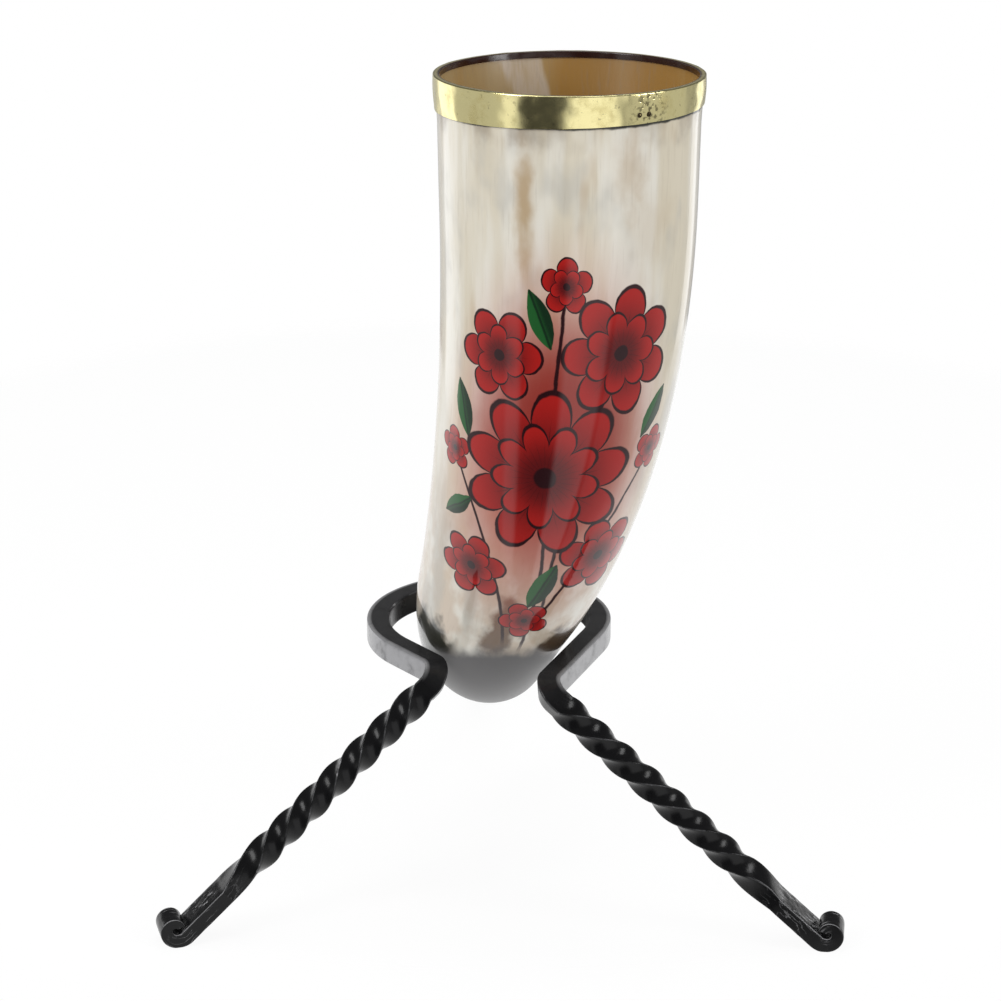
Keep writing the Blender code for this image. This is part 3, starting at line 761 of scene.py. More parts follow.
def pale_horn(nodes, skin, colours):
    """Cream horn with pale streaks, grey clouds, tan marks and fibres, mottled low down."""
    base = nodes.mix(skin.broad.fade(0.40, 0.64), colours.cream, colours.pale)
    base = nodes.mix(skin.cloud.fade(0.50, 0.70) * 0.55, base, colours.grey)
    base = nodes.mix(skin.warm.fade(0.56, 0.74) * 0.5, base, colours.tan)
    for *mark, strength in TAN_MARKS:
        apart = ellipse(nodes, skin.uv, *mark) + skin.uneven * TAN_RAGGED
        base = nodes.mix(apart.fade(1.5, 0.1) * strength, base, colours.tan)
    low = skin.down.fade(*LOW_HORN)
    base = nodes.mix(low * 0.7, base, colours.flush)
    base = nodes.mix(low * skin.soft.fade(0.42, 0.68), base, colours.pale)
    shade = low * skin.around.fade(0.1, -0.6) * skin.warm.fade(0.44, 0.66)
    base = nodes.mix(shade * 0.6, base, colours.grey)
    base = nodes.mix(skin.fine.fade(0.54, 0.76) * 0.12, base, colours.fibre)
    apart = ellipse(nodes, skin.uv, *BROWN_MARK) + skin.uneven * BROWN_RAGGED
    return nodes.mix(apart.fade(1.4, 0.6) * 0.95, base, colours.brown)


def dark_tip(nodes, skin, colours, base):
    """Dark patches at both sides above the edge of the grey tip. Returns the colour and the tip's mask."""
    _, back, up = nodes.split(nodes.place())
    level = back * TIP_TILT + up
    left = skin.around.fade(-0.38, -1.15)
    right = skin.around.fade(0.28, 0.62)
    patch = level - left * LEFT_PATCH_RISE - right * RIGHT_PATCH_RISE + skin.uneven * PATCH_RAGGED
    dark = patch.fade(*PATCH_EDGE) * (left + right).fade(0.05, 0.3)
    tone = nodes.mix(skin.around.fade(-0.2, 0.2) * 0.5, colours.olive, colours.brown)
    base = nodes.mix(dark, base, tone)
    tip = (skin.uneven * TIP_RAGGED + level).fade(*TIP_EDGE).most(skin.down.fade(*DARK_RUN))
    # The tip's grey partly paints the pale floor's reflection on dark horn
    return nodes.mix(tip, base, colours.tip), tip


def under_band(nodes, skin, colours, base):
    """Darker patches and a thin painted shadow line below the brass band."""
    below_band_patches = (skin.uneven * BELOW_BAND_PATCHES_RAGGED + skin.down).fade(*BELOW_BAND_PATCHES) * skin.cloud.fade(0.42, 0.62)
    base = nodes.mix(below_band_patches * 0.5, base, colours.fibre)
    # Painted shadow line along the band's lower edge, following its taper and wider at the right
    band_edge = nodes.math("SINE", skin.around) * BAND_EDGE_TILT + skin.down
    line = band_edge - skin.around.fade(-0.3, 0.7) * RIGHT_SHADOW_WIDENING + skin.uneven * SHADOW_LINE_RAGGED
    return nodes.mix(line.fade(*BAND_SHADOW_LINE), base, colours.olive)


def horn_material(colours, paint):
    """Polished horn under clear lacquer, with a painted flower spray on its front."""
    made, nodes, shader = new_material("horn_polished", 0.35)
    skin = horn_skin(nodes)
    base, tip = dark_tip(nodes, skin, colours, pale_horn(nodes, skin, colours))
    base = under_band(nodes, skin, colours, base)
    wobble = nodes.noise(skin.straight, WOBBLES) * BRUSH_WOBBLE - BRUSH_WOBBLE / 2
    nodes.set(shader, {
        "Base Color": paint_over(nodes, base, nodes.vector("ADD", skin.uv, wobble), paint),
        "Specular IOR Level": 0.1,
        # Most of the coat is taken off the tip, whose grey colour partly paints the floor's reflection
        # instead
        "Coat Weight": 1.0 - tip * 0.9,
        "Coat IOR": 1.4,
        "Coat Roughness": 0.03,
        "Normal": nodes.bump(skin.fine * 0.3 + skin.broad, *HORN_BUMP),
    })
    return made


def hollow_material(colours):
    """The inside of the horn: amber and tan with a pale streak at the back, less polished than outside."""
    made, nodes, shader = new_material("horn_inside", 0.42)
    straight = nodes.attribute("straight", "Vector")
    x, y, down = nodes.split(straight)
    broad = nodes.streak(straight, *HOLLOW_BROAD)
    fine = nodes.streak(straight, *HOLLOW_FINE)
    deep = x.fade(-0.012, 0.006) + (broad * 2.0 - 1.0)
    tone = nodes.mix(deep, colours.inside, colours.inside_deep)
    aside = x + STREAK_START - down * STREAK_SLOPE + broad * STREAK_WANDER
    streak = abs(aside).fade(*STREAK_EDGE) * y.fade(0.0, -0.01)
    tone = nodes.mix(streak * (fine * 1.2 + 0.25), tone, colours.inside_pale)
    nodes.set(shader, {
        "Base Color": nodes.mix(fine.fade(0.52, 0.75) * 0.25, tone, colours.fibre),
        "Coat Weight": 0.4,
        "Coat Roughness": 0.2,
        "Normal": nodes.bump(fine, *HOLLOW_BUMP),
    })
    return made


def skin_wave(straight, depth):
    """Shallow waves of the hand-polished skin, only inwards, so that the horn stays clear of the ring."""
    below_mouth = min(1.0, straight.z / SMOOTH_MOUTH)
    return -depth * below_mouth * (0.5 + 0.5 * noise.noise(straight * SKIN_WAVES))


def make_horn(settings):
    """The horn's skin from tip to mouth and its hollow, with the unbent places that the materials use."""
    sizes = settings.horn
    line = HornLine(sizes, mouth_centre(settings.rim))
    shoulder = sizes.horn_length - sizes.tip_radius
    tip = [shoulder + sizes.tip_radius * math.cos(QUARTER_TURN * k / TIP_STEPS) for k in range(1, TIP_STEPS)]
    outer = tip + steps_between(shoulder, 0.0, HORN_STEP)
    inner = steps_between(0.0, sizes.cavity_depth, HORN_STEP)[:-1]
    rows = [(d, line.skin_radius(d)) for d in outer] + [(d, line.hollow_radius(d)) for d in inner]

    bm = bmesh.new()
    straight = bm.verts.layers.float_vector.new("straight")
    circle = bmesh.ops.create_circle(bm, segments=HORN_SIDES, radius=1.0)["verts"]
    rings = [line.ring(distance, radius) for distance, radius in rows]
    for (distance, radius), ring in zip(rows, sweep(bm, bm.edges[:], circle, rings)):
        for vert, unit in ring:
            vert[straight] = Vector((unit.x * radius, unit.y * radius, distance))
    bm.faces.ensure_lookup_table()
    for face in bm.faces[(len(outer) - 1) * HORN_SIDES:]:
        face.material_index = 1
    bottom = [vert for vert, _ in ring]
    for loop, distance in ((circle, sizes.horn_length), (bottom, sizes.cavity_depth)):
        bmesh.ops.pointmerge(bm, verts=loop, merge_co=line.at(distance)[0])
    face_outwards(bm)
    for vert in bm.verts:
        vert.co += vert.normal * skin_wave(vert[straight], sizes.skin_unevenness)
    finishes = [horn_material(settings.horn_colours, settings.paint_colours),
                hollow_material(settings.horn_colours)]
    piece = new_piece("horn", bm, finishes, HORN_SHARP_ANGLE)
    settle(piece, "horn", "horn", "horn_shell")


# Brass rim

# Noise: scale, detail, roughness
BRASS_WEAR = (170.0, 5.0, 0.6)
BRASS_PITS = (800.0, 2.0)
PIN_RUB = (1400.0,)
BRASS_HAMMER = 260.0
BRASS_BUMP = (0.35, 0.0003)


def brass_material(colours):
    """Worn hammered brass, dirty round the soldered seam, with a painted dark reflection on the inner lip."""
    made, nodes, shader = new_material("brass_worn", 0.22, 1.0)
    inner = nodes.attribute("lip")
    spot = nodes.place()
    wear = nodes.noise(spot, *BRASS_WEAR)
    pits = nodes.noise(spot, *BRASS_PITS)
    tone = nodes.mix(wear.fade(0.48, 0.70) * 0.7, colours.brass, colours.brass_worn)
    dirty = nodes.attribute("solder") * pits.fade(0.50, 0.64) * 0.7
    tone = nodes.mix(dirty.most(pits.fade(0.66, 0.74) * 0.3), tone, colours.brass_dirt)
    dents = nodes.group(hammer_marks, Vector=spot, Scale=BRASS_HAMMER)["Height"]
    nodes.set(shader, {
        # The turned-in strip is made non-metal, and its colour paints the dark reflection of the horn's
        # hollow
        "Base Color": nodes.mix(inner, tone, colours.lip),
        "Metallic": 1.0 - inner,
        "Roughness": wear.fade(0.4, 0.75) * 0.18 + 0.15,
        "Normal": nodes.bump(dents - dirty * 0.5, *BRASS_BUMP),
    })
    return made


def pin_material(colours):
    """Darkened metal of the two rim pins, brighter where it is worn."""
    made, nodes, shader = new_material("pin_dark", 0.4, 1.0)
    rub = nodes.noise(nodes.place(), *PIN_RUB).fade(0.6, 0.8)
    nodes.set(shader, {"Base Color": nodes.mix(rub, colours.pin, colours.brass_worn)})
    return made


def rim_profile(rim, line):
    """Points (radius, height, lip) of the folded strip's section, cut into short rows."""
    skin = line.skin_radius(rim.outer_height) + rim.fit
    side = line.skin_radius(0.0) + rim.fit
    inside = line.hollow_radius(0.0) - rim.fit
    lower_inside = line.hollow_radius(rim.inner_height) - rim.fit
    fold_height = rim.fit + rim.thickness - rim.fold_radius
    outer_fold = side + rim.thickness - rim.fold_radius
    inner_fold = inside - rim.thickness + rim.fold_radius
    points = []
    for height in steps_between(-rim.outer_height, fold_height, RIM_ROW)[:-1]:
        rise = (height + rim.outer_height) / (fold_height + rim.outer_height)
        swell = rim.bulge * (1 - (2 * rise - 1) ** 2)
        points.append((skin + (side - skin) * rise + rim.thickness + swell, height, 0.0))
    for middle, start, lip in ((outer_fold, 0.0, 0.0), (inner_fold, QUARTER_TURN, 1.0)):
        for number in range(FOLD_STEPS + 1):
            angle = start + QUARTER_TURN * number / FOLD_STEPS
            radius = middle + rim.fold_radius * math.cos(angle)
            points.append((radius, fold_height + rim.fold_radius * math.sin(angle), lip))
    return points + [
        (lower_inside - rim.thickness, -rim.inner_height, 1.0),
        (lower_inside, -rim.inner_height, 1.0),
        (inside, rim.fit, 1.0),
        (side, rim.fit, 0.0),
        (skin, -rim.outer_height, 0.0),
    ]


def make_rim(settings):
    """The folded brass band with its hammer marks and solder lumps, and the finish of its two pins."""
    rim = settings.rim
    mouth = mouth_centre(rim)
    bm = bmesh.new()
    lip = bm.verts.layers.float.new("lip")
    solder = bm.verts.layers.float.new("solder")
    verts = []
    for radius, height, inner in rim_profile(rim, HornLine(settings.horn, mouth)):
        vert = bm.verts.new((radius, 0, height))
        vert[lip] = inner
        verts.append(vert)
    edges = [bm.edges.new((verts[k - 1], verts[k])) for k in range(len(verts))]
    bmesh.ops.spin(bm, geom=verts + edges, cent=(0, 0, 0), axis=UP, angle=2 * math.pi, steps=RIM_STEPS,
                   use_merge=True)
    bmesh.ops.remove_doubles(bm, verts=bm.verts, dist=MERGE_DISTANCE)
    face_outwards(bm)
    for vert in bm.verts:
        across = math.hypot(vert.co.x, vert.co.y)
        if vert.co.z < 0 and not vert[lip]:
            vert.co.z *= 1 - rim.taper * vert.co.x / across
        if vert.normal.dot(vert.co.xy.to_3d().normalized()) < BAND_OUTWARD:
            continue
        angle = math.atan2(vert.co.x, -vert.co.y)
        beside = abs(angle - rim.seam_turn) * across / rim.seam_width
        vert[solder] = max(0.0, 1 - beside ** 2)
        dent = noise.noise(vert.co * BRASS_DENTS) * rim.hammer_depth
        lump = max(0.0, noise.noise(vert.co * SOLDER_LUMPS)) * vert[solder] * rim.solder_height
        vert.co += vert.normal * (dent + lump)
    bmesh.ops.translate(bm, vec=mouth, verts=bm.verts)
    piece = new_piece("brass_rim", bm, [brass_material(settings.metal_colours)], BAR_SHARP_ANGLE)
    settle(piece, "horn", "brass", "rim_band")
    finish_nodes(pin_material(settings.metal_colours), "rim_pin_1", "rim_pin_2")


# Stand

# Scars of the hammered feet: a grain's size across and along the bar, an offset, and the noise of their gaps
SCARS = (0.0016, 0.007, 1.3)
SCAR_GAPS = (140.0,)
IRON_PATCHES = (220.0, 4.0, 0.6)
IRON_GRIT = (1500.0, 2.0)
IRON_HAMMER = 420.0
IRON_BUMP = (0.6, 0.0005)


def iron_material(colours):
    """Satin black paint over forged iron, worn at the edges, dented where hammered, with painted sheen and
    edge highlights.
    """
    made, nodes, shader = new_material("iron_black", 0.36)
    spot = nodes.place()
    along = nodes.attribute("bar", "Vector")
    edge = nodes.attribute("edge")
    forged = nodes.attribute("hammered")
    patch = nodes.noise(spot, *IRON_PATCHES)
    rub = edge.fade(0.1, 0.5) * patch.fade(0.38, 0.66)
    tone = nodes.mix(rub, colours.iron, colours.iron_worn)
    crease = abs(nodes.streak(along, *SCARS) - 0.5).fade(0.026, 0.006)
    scars_and_edge_highlight = crease * nodes.noise(along, *SCAR_GAPS).fade(0.44, 0.60)
    # Painted highlight along the feet's edges, together with worn metal, beside the hammer scars
    scars_and_edge_highlight = scars_and_edge_highlight.most(edge.fade(0.3, 0.55) * 0.55) * forged
    scuff = edge.fade(0.0, 0.4) * patch.fade(0.60, 0.70)
    tone = nodes.mix(scars_and_edge_highlight.most(scuff * 0.6), tone, colours.iron_bare)
    # Painted sheen: the side lamps' reflection on the ring's outer faces, fainter on its other faces, mixed
    # with worn metal
    sheen_and_bare = nodes.attribute("rubbed") * patch.fade(0.05, 0.55)
    dents = nodes.group(hammer_marks, Vector=spot, Scale=IRON_HAMMER)["Height"]
    grit = nodes.noise(spot, *IRON_GRIT)
    nodes.set(shader, {
        "Base Color": nodes.mix(sheen_and_bare, tone, colours.iron_bare),
        "Metallic": sheen_and_bare * 0.5,
        "Roughness": patch * 0.18 + 0.13,
        "Specular IOR Level": 0.22,
        "Normal": nodes.bump(dents * (forged * 0.35) + grit * 0.08, *IRON_BUMP),
    })
    return made


def turned(vector, heading, angle):
    return Quaternion(heading, angle) @ vector


def bend_stations(corner, start, heading, stand):
    """Round a corner from the start station's heading to a new heading, keeping the section's roll."""
    radius = stand.bar_size / 2 + stand.bend_inner_radius
    angle = start.heading.angle(heading)
    reach = radius * math.tan(angle / 2)
    axis = start.heading.cross(heading).normalized()
    arc = arc_from(corner - start.heading * reach, start.heading, axis.cross(start.heading), radius)
    stations = []
    for part in steps_between(0.0, angle, angle / BEND_STEPS):
        point, way = along_arc(arc, part * radius)
        # The painted sheen of the ring's outer face fades out round the bend, where the face turns towards
        # the front
        stations.append(Station(point, way, turned(start.across, axis, part), turned(start.up, axis, part),
                                stand.bar_size, stand.bar_size, 0.0, start.rubbed * (1 - part / angle)))
    return stations


def scroll_points(slope, stand):
    """Angles and centre points of a scroll foot in its own plane, with the floor touched at the origin."""
    angles = steps_between(-slope, stand.scroll_end_angle, SCROLL_STEP)
    span = stand.scroll_end_angle + slope
    points = [Vector((0, 0))]
    for before, after in zip(angles[:-1], angles[1:]):
        middle = (before + after) / 2
        part = (middle + slope) / span
        opening = (1 - part) ** stand.scroll_tightening
        radius = stand.scroll_end_radius + (stand.scroll_start_radius - stand.scroll_end_radius) * opening
        points.append(points[-1] + Vector((math.cos(middle), math.sin(middle))) * radius * (after - before))
    lowest = min(points, key=lambda point: point.y)
    lift = Vector((0, stand.foot_thickness / 2 - stand.foot_flat))
    return angles, [point - lowest + lift for point in points]


def landing(corner, foot, stand):
    """Level way and slope of a leg from its corner to its foot, with the scroll that fits that slope."""
    flat_way = Vector((foot.x - corner.x, foot.y - corner.y, 0))
    plan_length = flat_way.length
    slope = math.atan2(corner.z, plan_length)
    for _ in range(SLOPE_ROUNDS):
        angles, points = scroll_points(slope, stand)
        slope = math.atan2(corner.z - points[0].y, plan_length + points[0].x)
    return flat_way.normalized(), slope, angles, points


def foot_station(point, heading, across, lean, width, thickness, quarters, hammered=1.0):
    """A flat section, rolled by the leg's quarter turns so that it follows the twist corner by corner."""
    roll = -quarters * QUARTER_TURN
    sizes = (thickness, width) if quarters % 2 else (width, thickness)
    across = turned(across, heading, roll)
    lean = turned(lean, heading, roll)
    return Station(point, heading, across, lean, *sizes, hammered)


def twist_share(done, twist_length, runout):
    """Share of the twist that is done at a distance: even at first, then running out above the foot."""
    even_length = twist_length - runout / 2
    left = twist_length - done
    if left >= runout:
        return done / even_length
    return 1 - left ** 2 / (2 * runout * even_length)


def leg_stations(corner, start, foot, stand):
    """Bend, twisted leg and scroll foot, from a bar that arrives at a corner."""
    size = stand.bar_size
    width = size + stand.foot_widening
    thin = stand.foot_thickness
    flat_way, slope, angles, points = landing(corner, foot, stand)
    heading = flat_way * math.cos(slope) - UP * math.sin(slope)
    lean = UP * math.cos(slope) + flat_way * math.sin(slope)
    stations = bend_stations(corner, start, heading, stand)
    top = stations[-1]
    hand = 1 if top.across.cross(top.up).dot(heading) > 0 else -1
    across = UP.cross(flat_way) * hand
    offset = math.atan2(top.across.cross(across).dot(heading), top.across.dot(across))
    quarters = round((2 * math.pi * stand.twist_turns + offset) / QUARTER_TURN)
    twist = offset - quarters * QUARTER_TURN
    flat_start = foot + flat_way * points[0].x + UP * points[0].y - heading * stand.foot_run
    twist_length = (flat_start - top.point).length - stand.plain_length
    for done in steps_between(0.0, twist_length, TWIST_STEP):
        flat = max(0.0, 1 - (twist_length - done) / stand.flattening_length) ** 2
        roll = twist * (twist_share(done, twist_length, stand.twist_runout) - 1)
        stations.append(foot_station(
            top.point + heading * (stand.plain_length + done), heading,
            turned(across, heading, roll), turned(lean, heading, roll),
            size + (width - size) * flat, size + (thin - size) * flat, quarters, flat))
    for number in range(1, FLAT_STEPS):
        point = flat_start + heading * stand.foot_run * number / FLAT_STEPS
        stations.append(foot_station(point, heading, across, lean, width, thin, quarters))
    for angle, point in zip(angles, points):
        part = (angle + slope) / (stand.scroll_end_angle + slope)
        stations.append(foot_station(
            foot + flat_way * point.x + UP * point.y,
            flat_way * math.cos(angle) + UP * math.sin(angle), across,
            UP * math.cos(angle) - flat_way * math.sin(angle),
            width - stand.foot_narrowing * part, thin + (stand.foot_end_thickness - thin) * part, quarters))
    return stations


def ring_half(corner, foot, side, stand):
    """Stations from the back of the ring to one front foot."""
    centre = Vector(stand.ring_centre)
    radius = stand.ring_radius
    size = stand.bar_size
    x = side * (corner.x - centre.x)
    y = corner.y - centre.y
    leave = math.atan2(y, x) + math.acos(min(1.0, radius / math.hypot(x, y)))
    stations = []
    for angle in steps_between(QUARTER_TURN, leave, RING_STEP):
        outward = Vector((side * math.cos(angle), math.sin(angle), 0))
        heading = Vector((side * math.sin(angle), -math.cos(angle), 0))
        # The ring's outer face takes the full painted sheen, with worn metal
        stations.append(Station(centre + outward * radius, heading, outward, UP, size, size, rubbed=1.0))
    return stations + leg_stations(corner, stations[-1], foot, stand)


def rear_stations(stand):
    """Stations of the rear leg, from its riveted tab on the ring to its foot."""
    rivet = Vector(stand.rivet_place)
    foot = Vector(stand.rear_foot)
    size = stand.bar_size
    thin = stand.tab_thickness
    wide = size + stand.tab_widening
    back = (foot - rivet).normalized()
    side = back.cross(UP)
    ring_top = stand.ring_centre[2] + size / 2
    tab_middle = rivet + UP * (ring_top + stand.joint_gap + thin / 2)
    tab_end = tab_middle + back * size / 2
    neck = tab_end + back * stand.tab_neck + UP * (size - thin) / 2
    stations = [
        Station(tab_middle - back * size / 2, back, side, UP, wide, thin, hammered=0.5),
        Station(tab_end, back, side, UP, wide, thin, hammered=0.5),
        Station(neck, back, side, UP, size, size),
    ]
    bend_radius = size / 2 + stand.bend_inner_radius
    return stations + leg_stations(neck + back * bend_radius, stations[-1], foot, stand)


def bar_section(bm, edge_layer, stand):
    """A unit square with rounded corners, its sides cut for hammer marks. Returns its edges."""
    start = Matrix.Rotation(math.pi / 4, 4, "Z")
    bmesh.ops.create_circle(bm, cap_ends=True, segments=4, radius=math.sqrt(0.5), matrix=start)
    bmesh.ops.bevel(bm, geom=bm.verts[:], offset=stand.corner_share, offset_type="OFFSET", affect="VERTICES",
                    segments=CORNER_STEPS, profile=0.5, material=-1)
    bmesh.ops.delete(bm, geom=bm.faces[:], context="FACES_ONLY")
    for vert in bm.verts:
        from_corner = math.hypot(0.5 - abs(vert.co.x), 0.5 - abs(vert.co.y))
        vert[edge_layer] = max(0.0, 1 - from_corner / stand.corner_share)
    sides = [edge for edge in bm.edges if edge.calc_length() > stand.corner_share * 2]
    made = bmesh.ops.subdivide_edges(bm, edges=sides, cuts=SIDE_CUTS)["geom_inner"]
    for vert in only(bmesh.types.BMVert, made):
        vert[edge_layer] = 0.0
    return bm.edges[:]


def sweep_bar(stations, stand):
    """Sweep the bar's section through its stations, hammer the flattened runs and cut the feet flat."""
    bm = bmesh.new()
    edge_layer = bm.verts.layers.float.new("edge")
    hammered = bm.verts.layers.float.new("hammered")
    rubbed = bm.verts.layers.float.new("rubbed")
    bar = bm.verts.layers.float_vector.new("bar")
    edges = bar_section(bm, edge_layer, stand)
    rings = [columns(s.across * s.width, s.up * s.height, s.heading, s.point) for s in stations]
    travelled = 0.0
    before = stations[0].point
    for station, ring in zip(stations, sweep(bm, edges, bm.verts[:], rings)):
        travelled += (station.point - before).length
        before = station.point
        for vert, unit in ring:
            vert[hammered] = station.hammered
            # Painted sheen and worn metal: full on the bar's outer face, faint on its other faces
            vert[rubbed] = station.rubbed * (1.0 if unit.x > OUTER_FACE else LIGHT_SHEEN_AND_RUB)
            vert[bar] = Vector((unit.x * station.width, unit.y * station.height, travelled))
    bmesh.ops.holes_fill(bm, edges=[edge for edge in bm.edges if edge.is_boundary])
    face_outwards(bm)
    for vert in bm.verts:
        dent = 0.5 + 0.5 * noise.noise(vert.co * FOOT_DENTS)
        vert.co -= vert.normal * dent * vert[hammered] * stand.hammer_depth
        vert[hammered] *= max(SIDE_SCARS, vert.normal.z)
    whole = bm.verts[:] + bm.edges[:] + bm.faces[:]
    cut = bmesh.ops.bisect_plane(bm, geom=whole, plane_co=FLOOR_POINT, plane_no=DOWN, clear_outer=True)
    bmesh.ops.holes_fill(bm, edges=only(bmesh.types.BMEdge, cut["geom_cut"]))
    return bm


def make_stand(settings):
    """The bar that is ring, front legs and feet, the rear leg with its tab, and the rivet's finish."""
    stand = settings.stand
    iron = iron_material(settings.metal_colours)
    left = ring_half(Vector(stand.left_corner), Vector(stand.left_foot), -1, stand)
    right = ring_half(Vector(stand.right_corner), Vector(stand.right_foot), 1, stand)
    front_bar = sweep_bar(left[::-1] + right[1:], stand)
    front = new_piece("ring_and_front_legs", front_bar, [iron], BAR_SHARP_ANGLE)
    settle(front, "stand", "black_iron", "stand_bar")
    rear_bar = sweep_bar(rear_stations(stand), stand)
    rear = new_piece("rear_leg_with_tab", rear_bar, [iron], BAR_SHARP_ANGLE)
    settle(rear, "stand", "black_iron", "rear_leg")
    finish_nodes(iron, "rear_leg_rivet")


# Stage

WHITE = (1, 1, 1)
LIT_POINT = Vector((0, -0.02, 0.13))
SOFTBOXES = (
    # lamp, place, width, height
    ("key", (-0.75, -0.65, 0.75), 0.4, 0.7),
    ("fill", (0.85, -0.45, 0.55), 0.3, 0.6),
    ("top", (0.0, 0.15, 1.1), 0.6, 0.6),
)
# The room that polished pieces mirror: bearings in degrees from the front to the right, and levels
ROOM_FRONT = 0.06
ROOM_SIDES = (43, 50, 0.5)
ROOM_RIGHT_BACK = (112, 125, -0.2)
ROOM_CEILING = 0.14
CEILING_START = (0.02, 0.15)
ROOM_PANELS = (
    # bearing of the middle, outer and inner half width, strength
    (21, 26, 18, 1.1),
    (-52, 11, 5, 0.5),
    (-130, 18, 12, 1.0),
    (142, 10, 6, 1.2),
)


def floor_material(stage):
    """Pale floor that keeps a soft shadow and fades out into the white surround."""
    made, nodes, shader = new_material("floor_pale", 0.7)
    nodes.set(shader, {"Base Color": stage.floor, "Specular IOR Level": 0.0})
    direct = nodes.seen_by("Is Glossy Ray", "Is Transmission Ray", "Is Camera Ray")
    white = nodes.add("ShaderNodeEmission", {"Color": WHITE, "Strength": 1.0}).outputs[0]
    lit = nodes.blend(direct * stage.floor_whiteness, shader.outputs[0], white)
    away = nodes.vector("LENGTH", nodes.vector("SUBTRACT", nodes.place(), stage.floor_middle))
    clear = nodes.add("ShaderNodeBsdfTransparent").outputs[0]
    faded = nodes.blend(away.fade(stage.floor_fade, stage.floor_radius), lit, clear)
    nodes.set(made.node_tree.nodes["Material Output"], {"Surface": faded})
    return made


def room_step(bearing, start, end, strength):
    return bearing.fade(math.radians(start), math.radians(end)) * strength


def mirrored_room(nodes):
    """Level of the surround in reflections: dark in front, bright to the right, with white strips behind."""
    x, y, z = nodes.split(nodes.field("Generated", "ShaderNodeTexCoord"))
    bearing = nodes.math("ARCTAN2", x, y * -1.0)
    level = room_step(abs(bearing), *ROOM_SIDES) + ROOM_FRONT
    level = room_step(bearing, *ROOM_RIGHT_BACK) + level
    for middle, *panel in ROOM_PANELS:
        level = room_step(abs(bearing - math.radians(middle)), *panel) + level
    high = z.fade(*CEILING_START)
    return level * (1.0 - high) + high * ROOM_CEILING


def light_world(stage):
    """White surround to the eye, soft light on the part, and a room with a darker front in reflections."""
    world = bpy.data.worlds.new("white_studio")
    bpy.context.scene.world = world
    world.use_nodes = True
    nodes = Nodes(world.node_tree)
    sky = world.node_tree.nodes["Background"]
    nodes.set(sky, {"Color": WHITE, "Strength": stage.sky_light})
    room = nodes.add("ShaderNodeBackground", {"Color": WHITE, "Strength": mirrored_room(nodes)})
    white = nodes.add("ShaderNodeBackground", {"Color": WHITE, "Strength": 1.0})
    whole = nodes.blend(nodes.seen_by("Is Glossy Ray"), sky.outputs[0], room.outputs[0])
    whole = nodes.blend(nodes.seen_by("Is Camera Ray", "Is Transmission Ray"), whole, white.outputs[0])
    nodes.set(world.node_tree.nodes["World Output"], {"Surface": whole})


def hang_softbox(name, where, width, height, watts):
    lamp = bpy.data.lights.new(name, "AREA")
    lamp.shape = "RECTANGLE"
    lamp.size = width
    lamp.size_y = height
    lamp.energy = watts
    holder = bpy.data.objects.new(name, lamp)
    holder.location = where
    holder.rotation_euler = (LIT_POINT - Vector(where)).to_track_quat("-Z", "Y").to_euler()
    bpy.context.scene.collection.objects.link(holder)


def place_camera(stage):
    camera = bpy.data.cameras.new("camera")
    camera.lens = stage.lens
    camera.sensor_width = stage.sensor
    holder = bpy.data.objects.new("camera", camera)
    holder.location = stage.camera_place
    holder.rotation_euler = (stage.camera_pitch, 0, 0)
    bpy.context.scene.collection.objects.link(holder)
    bpy.context.scene.camera = holder


def make_stage(settings):
    """Camera, floor, soft lamps and surround."""
    stage = settings.stage
    place_camera(stage)
    bpy.context.scene.view_settings.view_transform = "Standard"
    bm = bmesh.new()
    bmesh.ops.create_circle(bm, cap_ends=True, segments=FLOOR_SIDES, radius=stage.floor_radius,
                            matrix=Matrix.Translation(stage.floor_middle))
    floor = new_piece("floor", bm, [floor_material(stage)], BAR_SHARP_ANGLE)
    for lamp, where, width, height in SOFTBOXES:
        hang_softbox(lamp + "_softbox", where, width, height, getattr(stage, lamp + "_power"))
    light_world(stage)


# Add-on

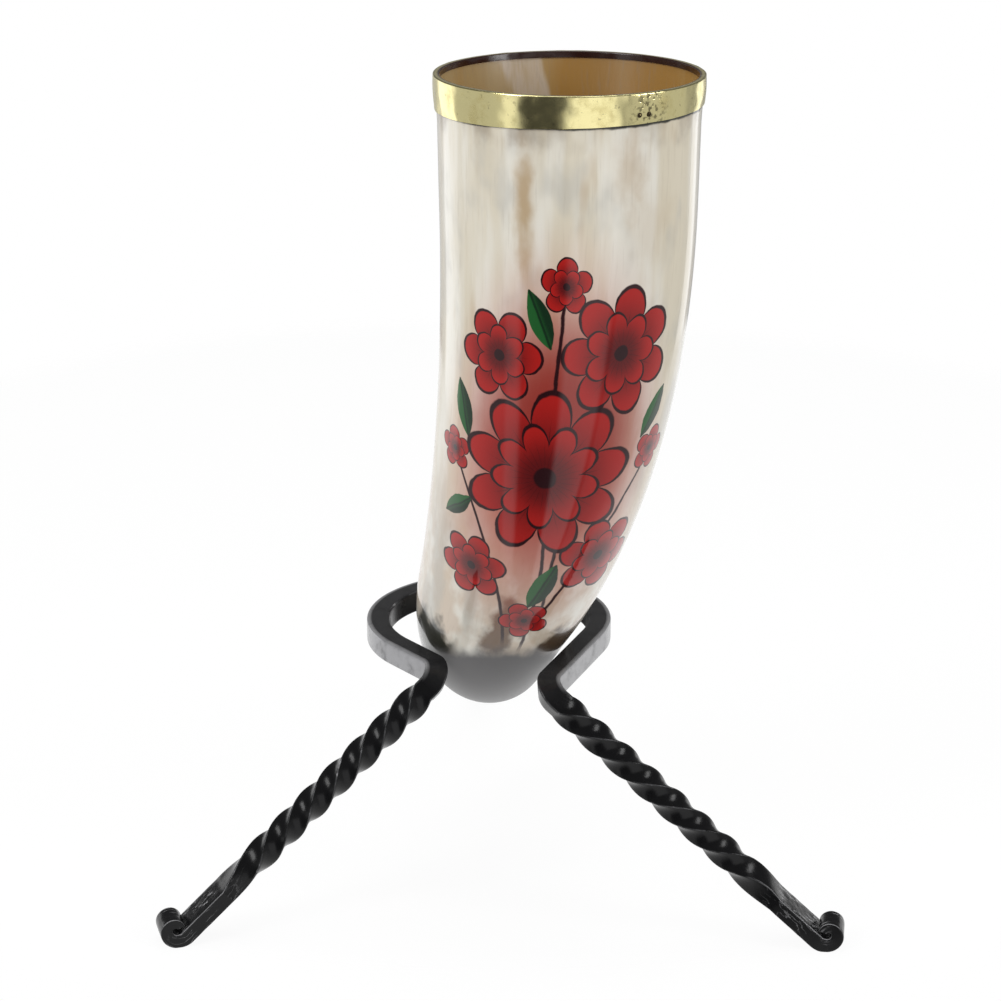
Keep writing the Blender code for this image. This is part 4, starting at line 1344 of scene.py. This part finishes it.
class DRINKING_HORN_OT_horn(bpy.types.Operator):
    """Add the polished horn with its painted front"""
    bl_idname = "drinking_horn.add_horn"
    bl_label = "Add horn"

    def execute(self, context):
        make_horn(context.scene.drinking_horn)
        return {"FINISHED"}


class DRINKING_HORN_OT_rim(bpy.types.Operator):
    """Add the brass rim and finish its pins"""
    bl_idname = "drinking_horn.add_rim"
    bl_label = "Add brass rim"

    def execute(self, context):
        make_rim(context.scene.drinking_horn)
        return {"FINISHED"}


class DRINKING_HORN_OT_stand(bpy.types.Operator):
    """Add the forged stand and finish its rivet"""
    bl_idname = "drinking_horn.add_stand"
    bl_label = "Add forged stand"

    def execute(self, context):
        make_stand(context.scene.drinking_horn)
        return {"FINISHED"}


class DRINKING_HORN_OT_stage(bpy.types.Operator):
    """Set the camera, the floor and the light"""
    bl_idname = "drinking_horn.set_stage"
    bl_label = "Set stage"

    def execute(self, context):
        make_stage(context.scene.drinking_horn)
        return {"FINISHED"}


OPERATORS = (DRINKING_HORN_OT_stage, DRINKING_HORN_OT_horn, DRINKING_HORN_OT_rim, DRINKING_HORN_OT_stand)


class VIEW3D_PT_drinking_horn(bpy.types.Panel):
    """Lists the pieces of the drinking horn"""
    bl_label = "Drinking horn"
    bl_idname = "VIEW3D_PT_drinking_horn"
    bl_space_type = "VIEW_3D"
    bl_region_type = "UI"
    bl_category = "Drinking horn"

    def draw(self, context):
        for operator in OPERATORS:
            self.layout.operator(operator.bl_idname)


CLASSES = (
    HornSizes, RimSizes, StandSizes, HornColours, PaintColours, MetalColours, StageSettings,
    DrinkingHornSettings, *OPERATORS, VIEW3D_PT_drinking_horn,
)


def register():
    for made in CLASSES:
        bpy.utils.register_class(made)
    bpy.types.Scene.drinking_horn = PointerProperty(type=DrinkingHornSettings)


def unregister():
    del bpy.types.Scene.drinking_horn
    for made in reversed(CLASSES):
        bpy.utils.unregister_class(made)


def main():
    register()
    bpy.ops.drinking_horn.set_stage()
    bpy.ops.drinking_horn.add_horn()
    bpy.ops.drinking_horn.add_rim()
    bpy.ops.drinking_horn.add_stand()


if __name__ == "__main__":
    main()
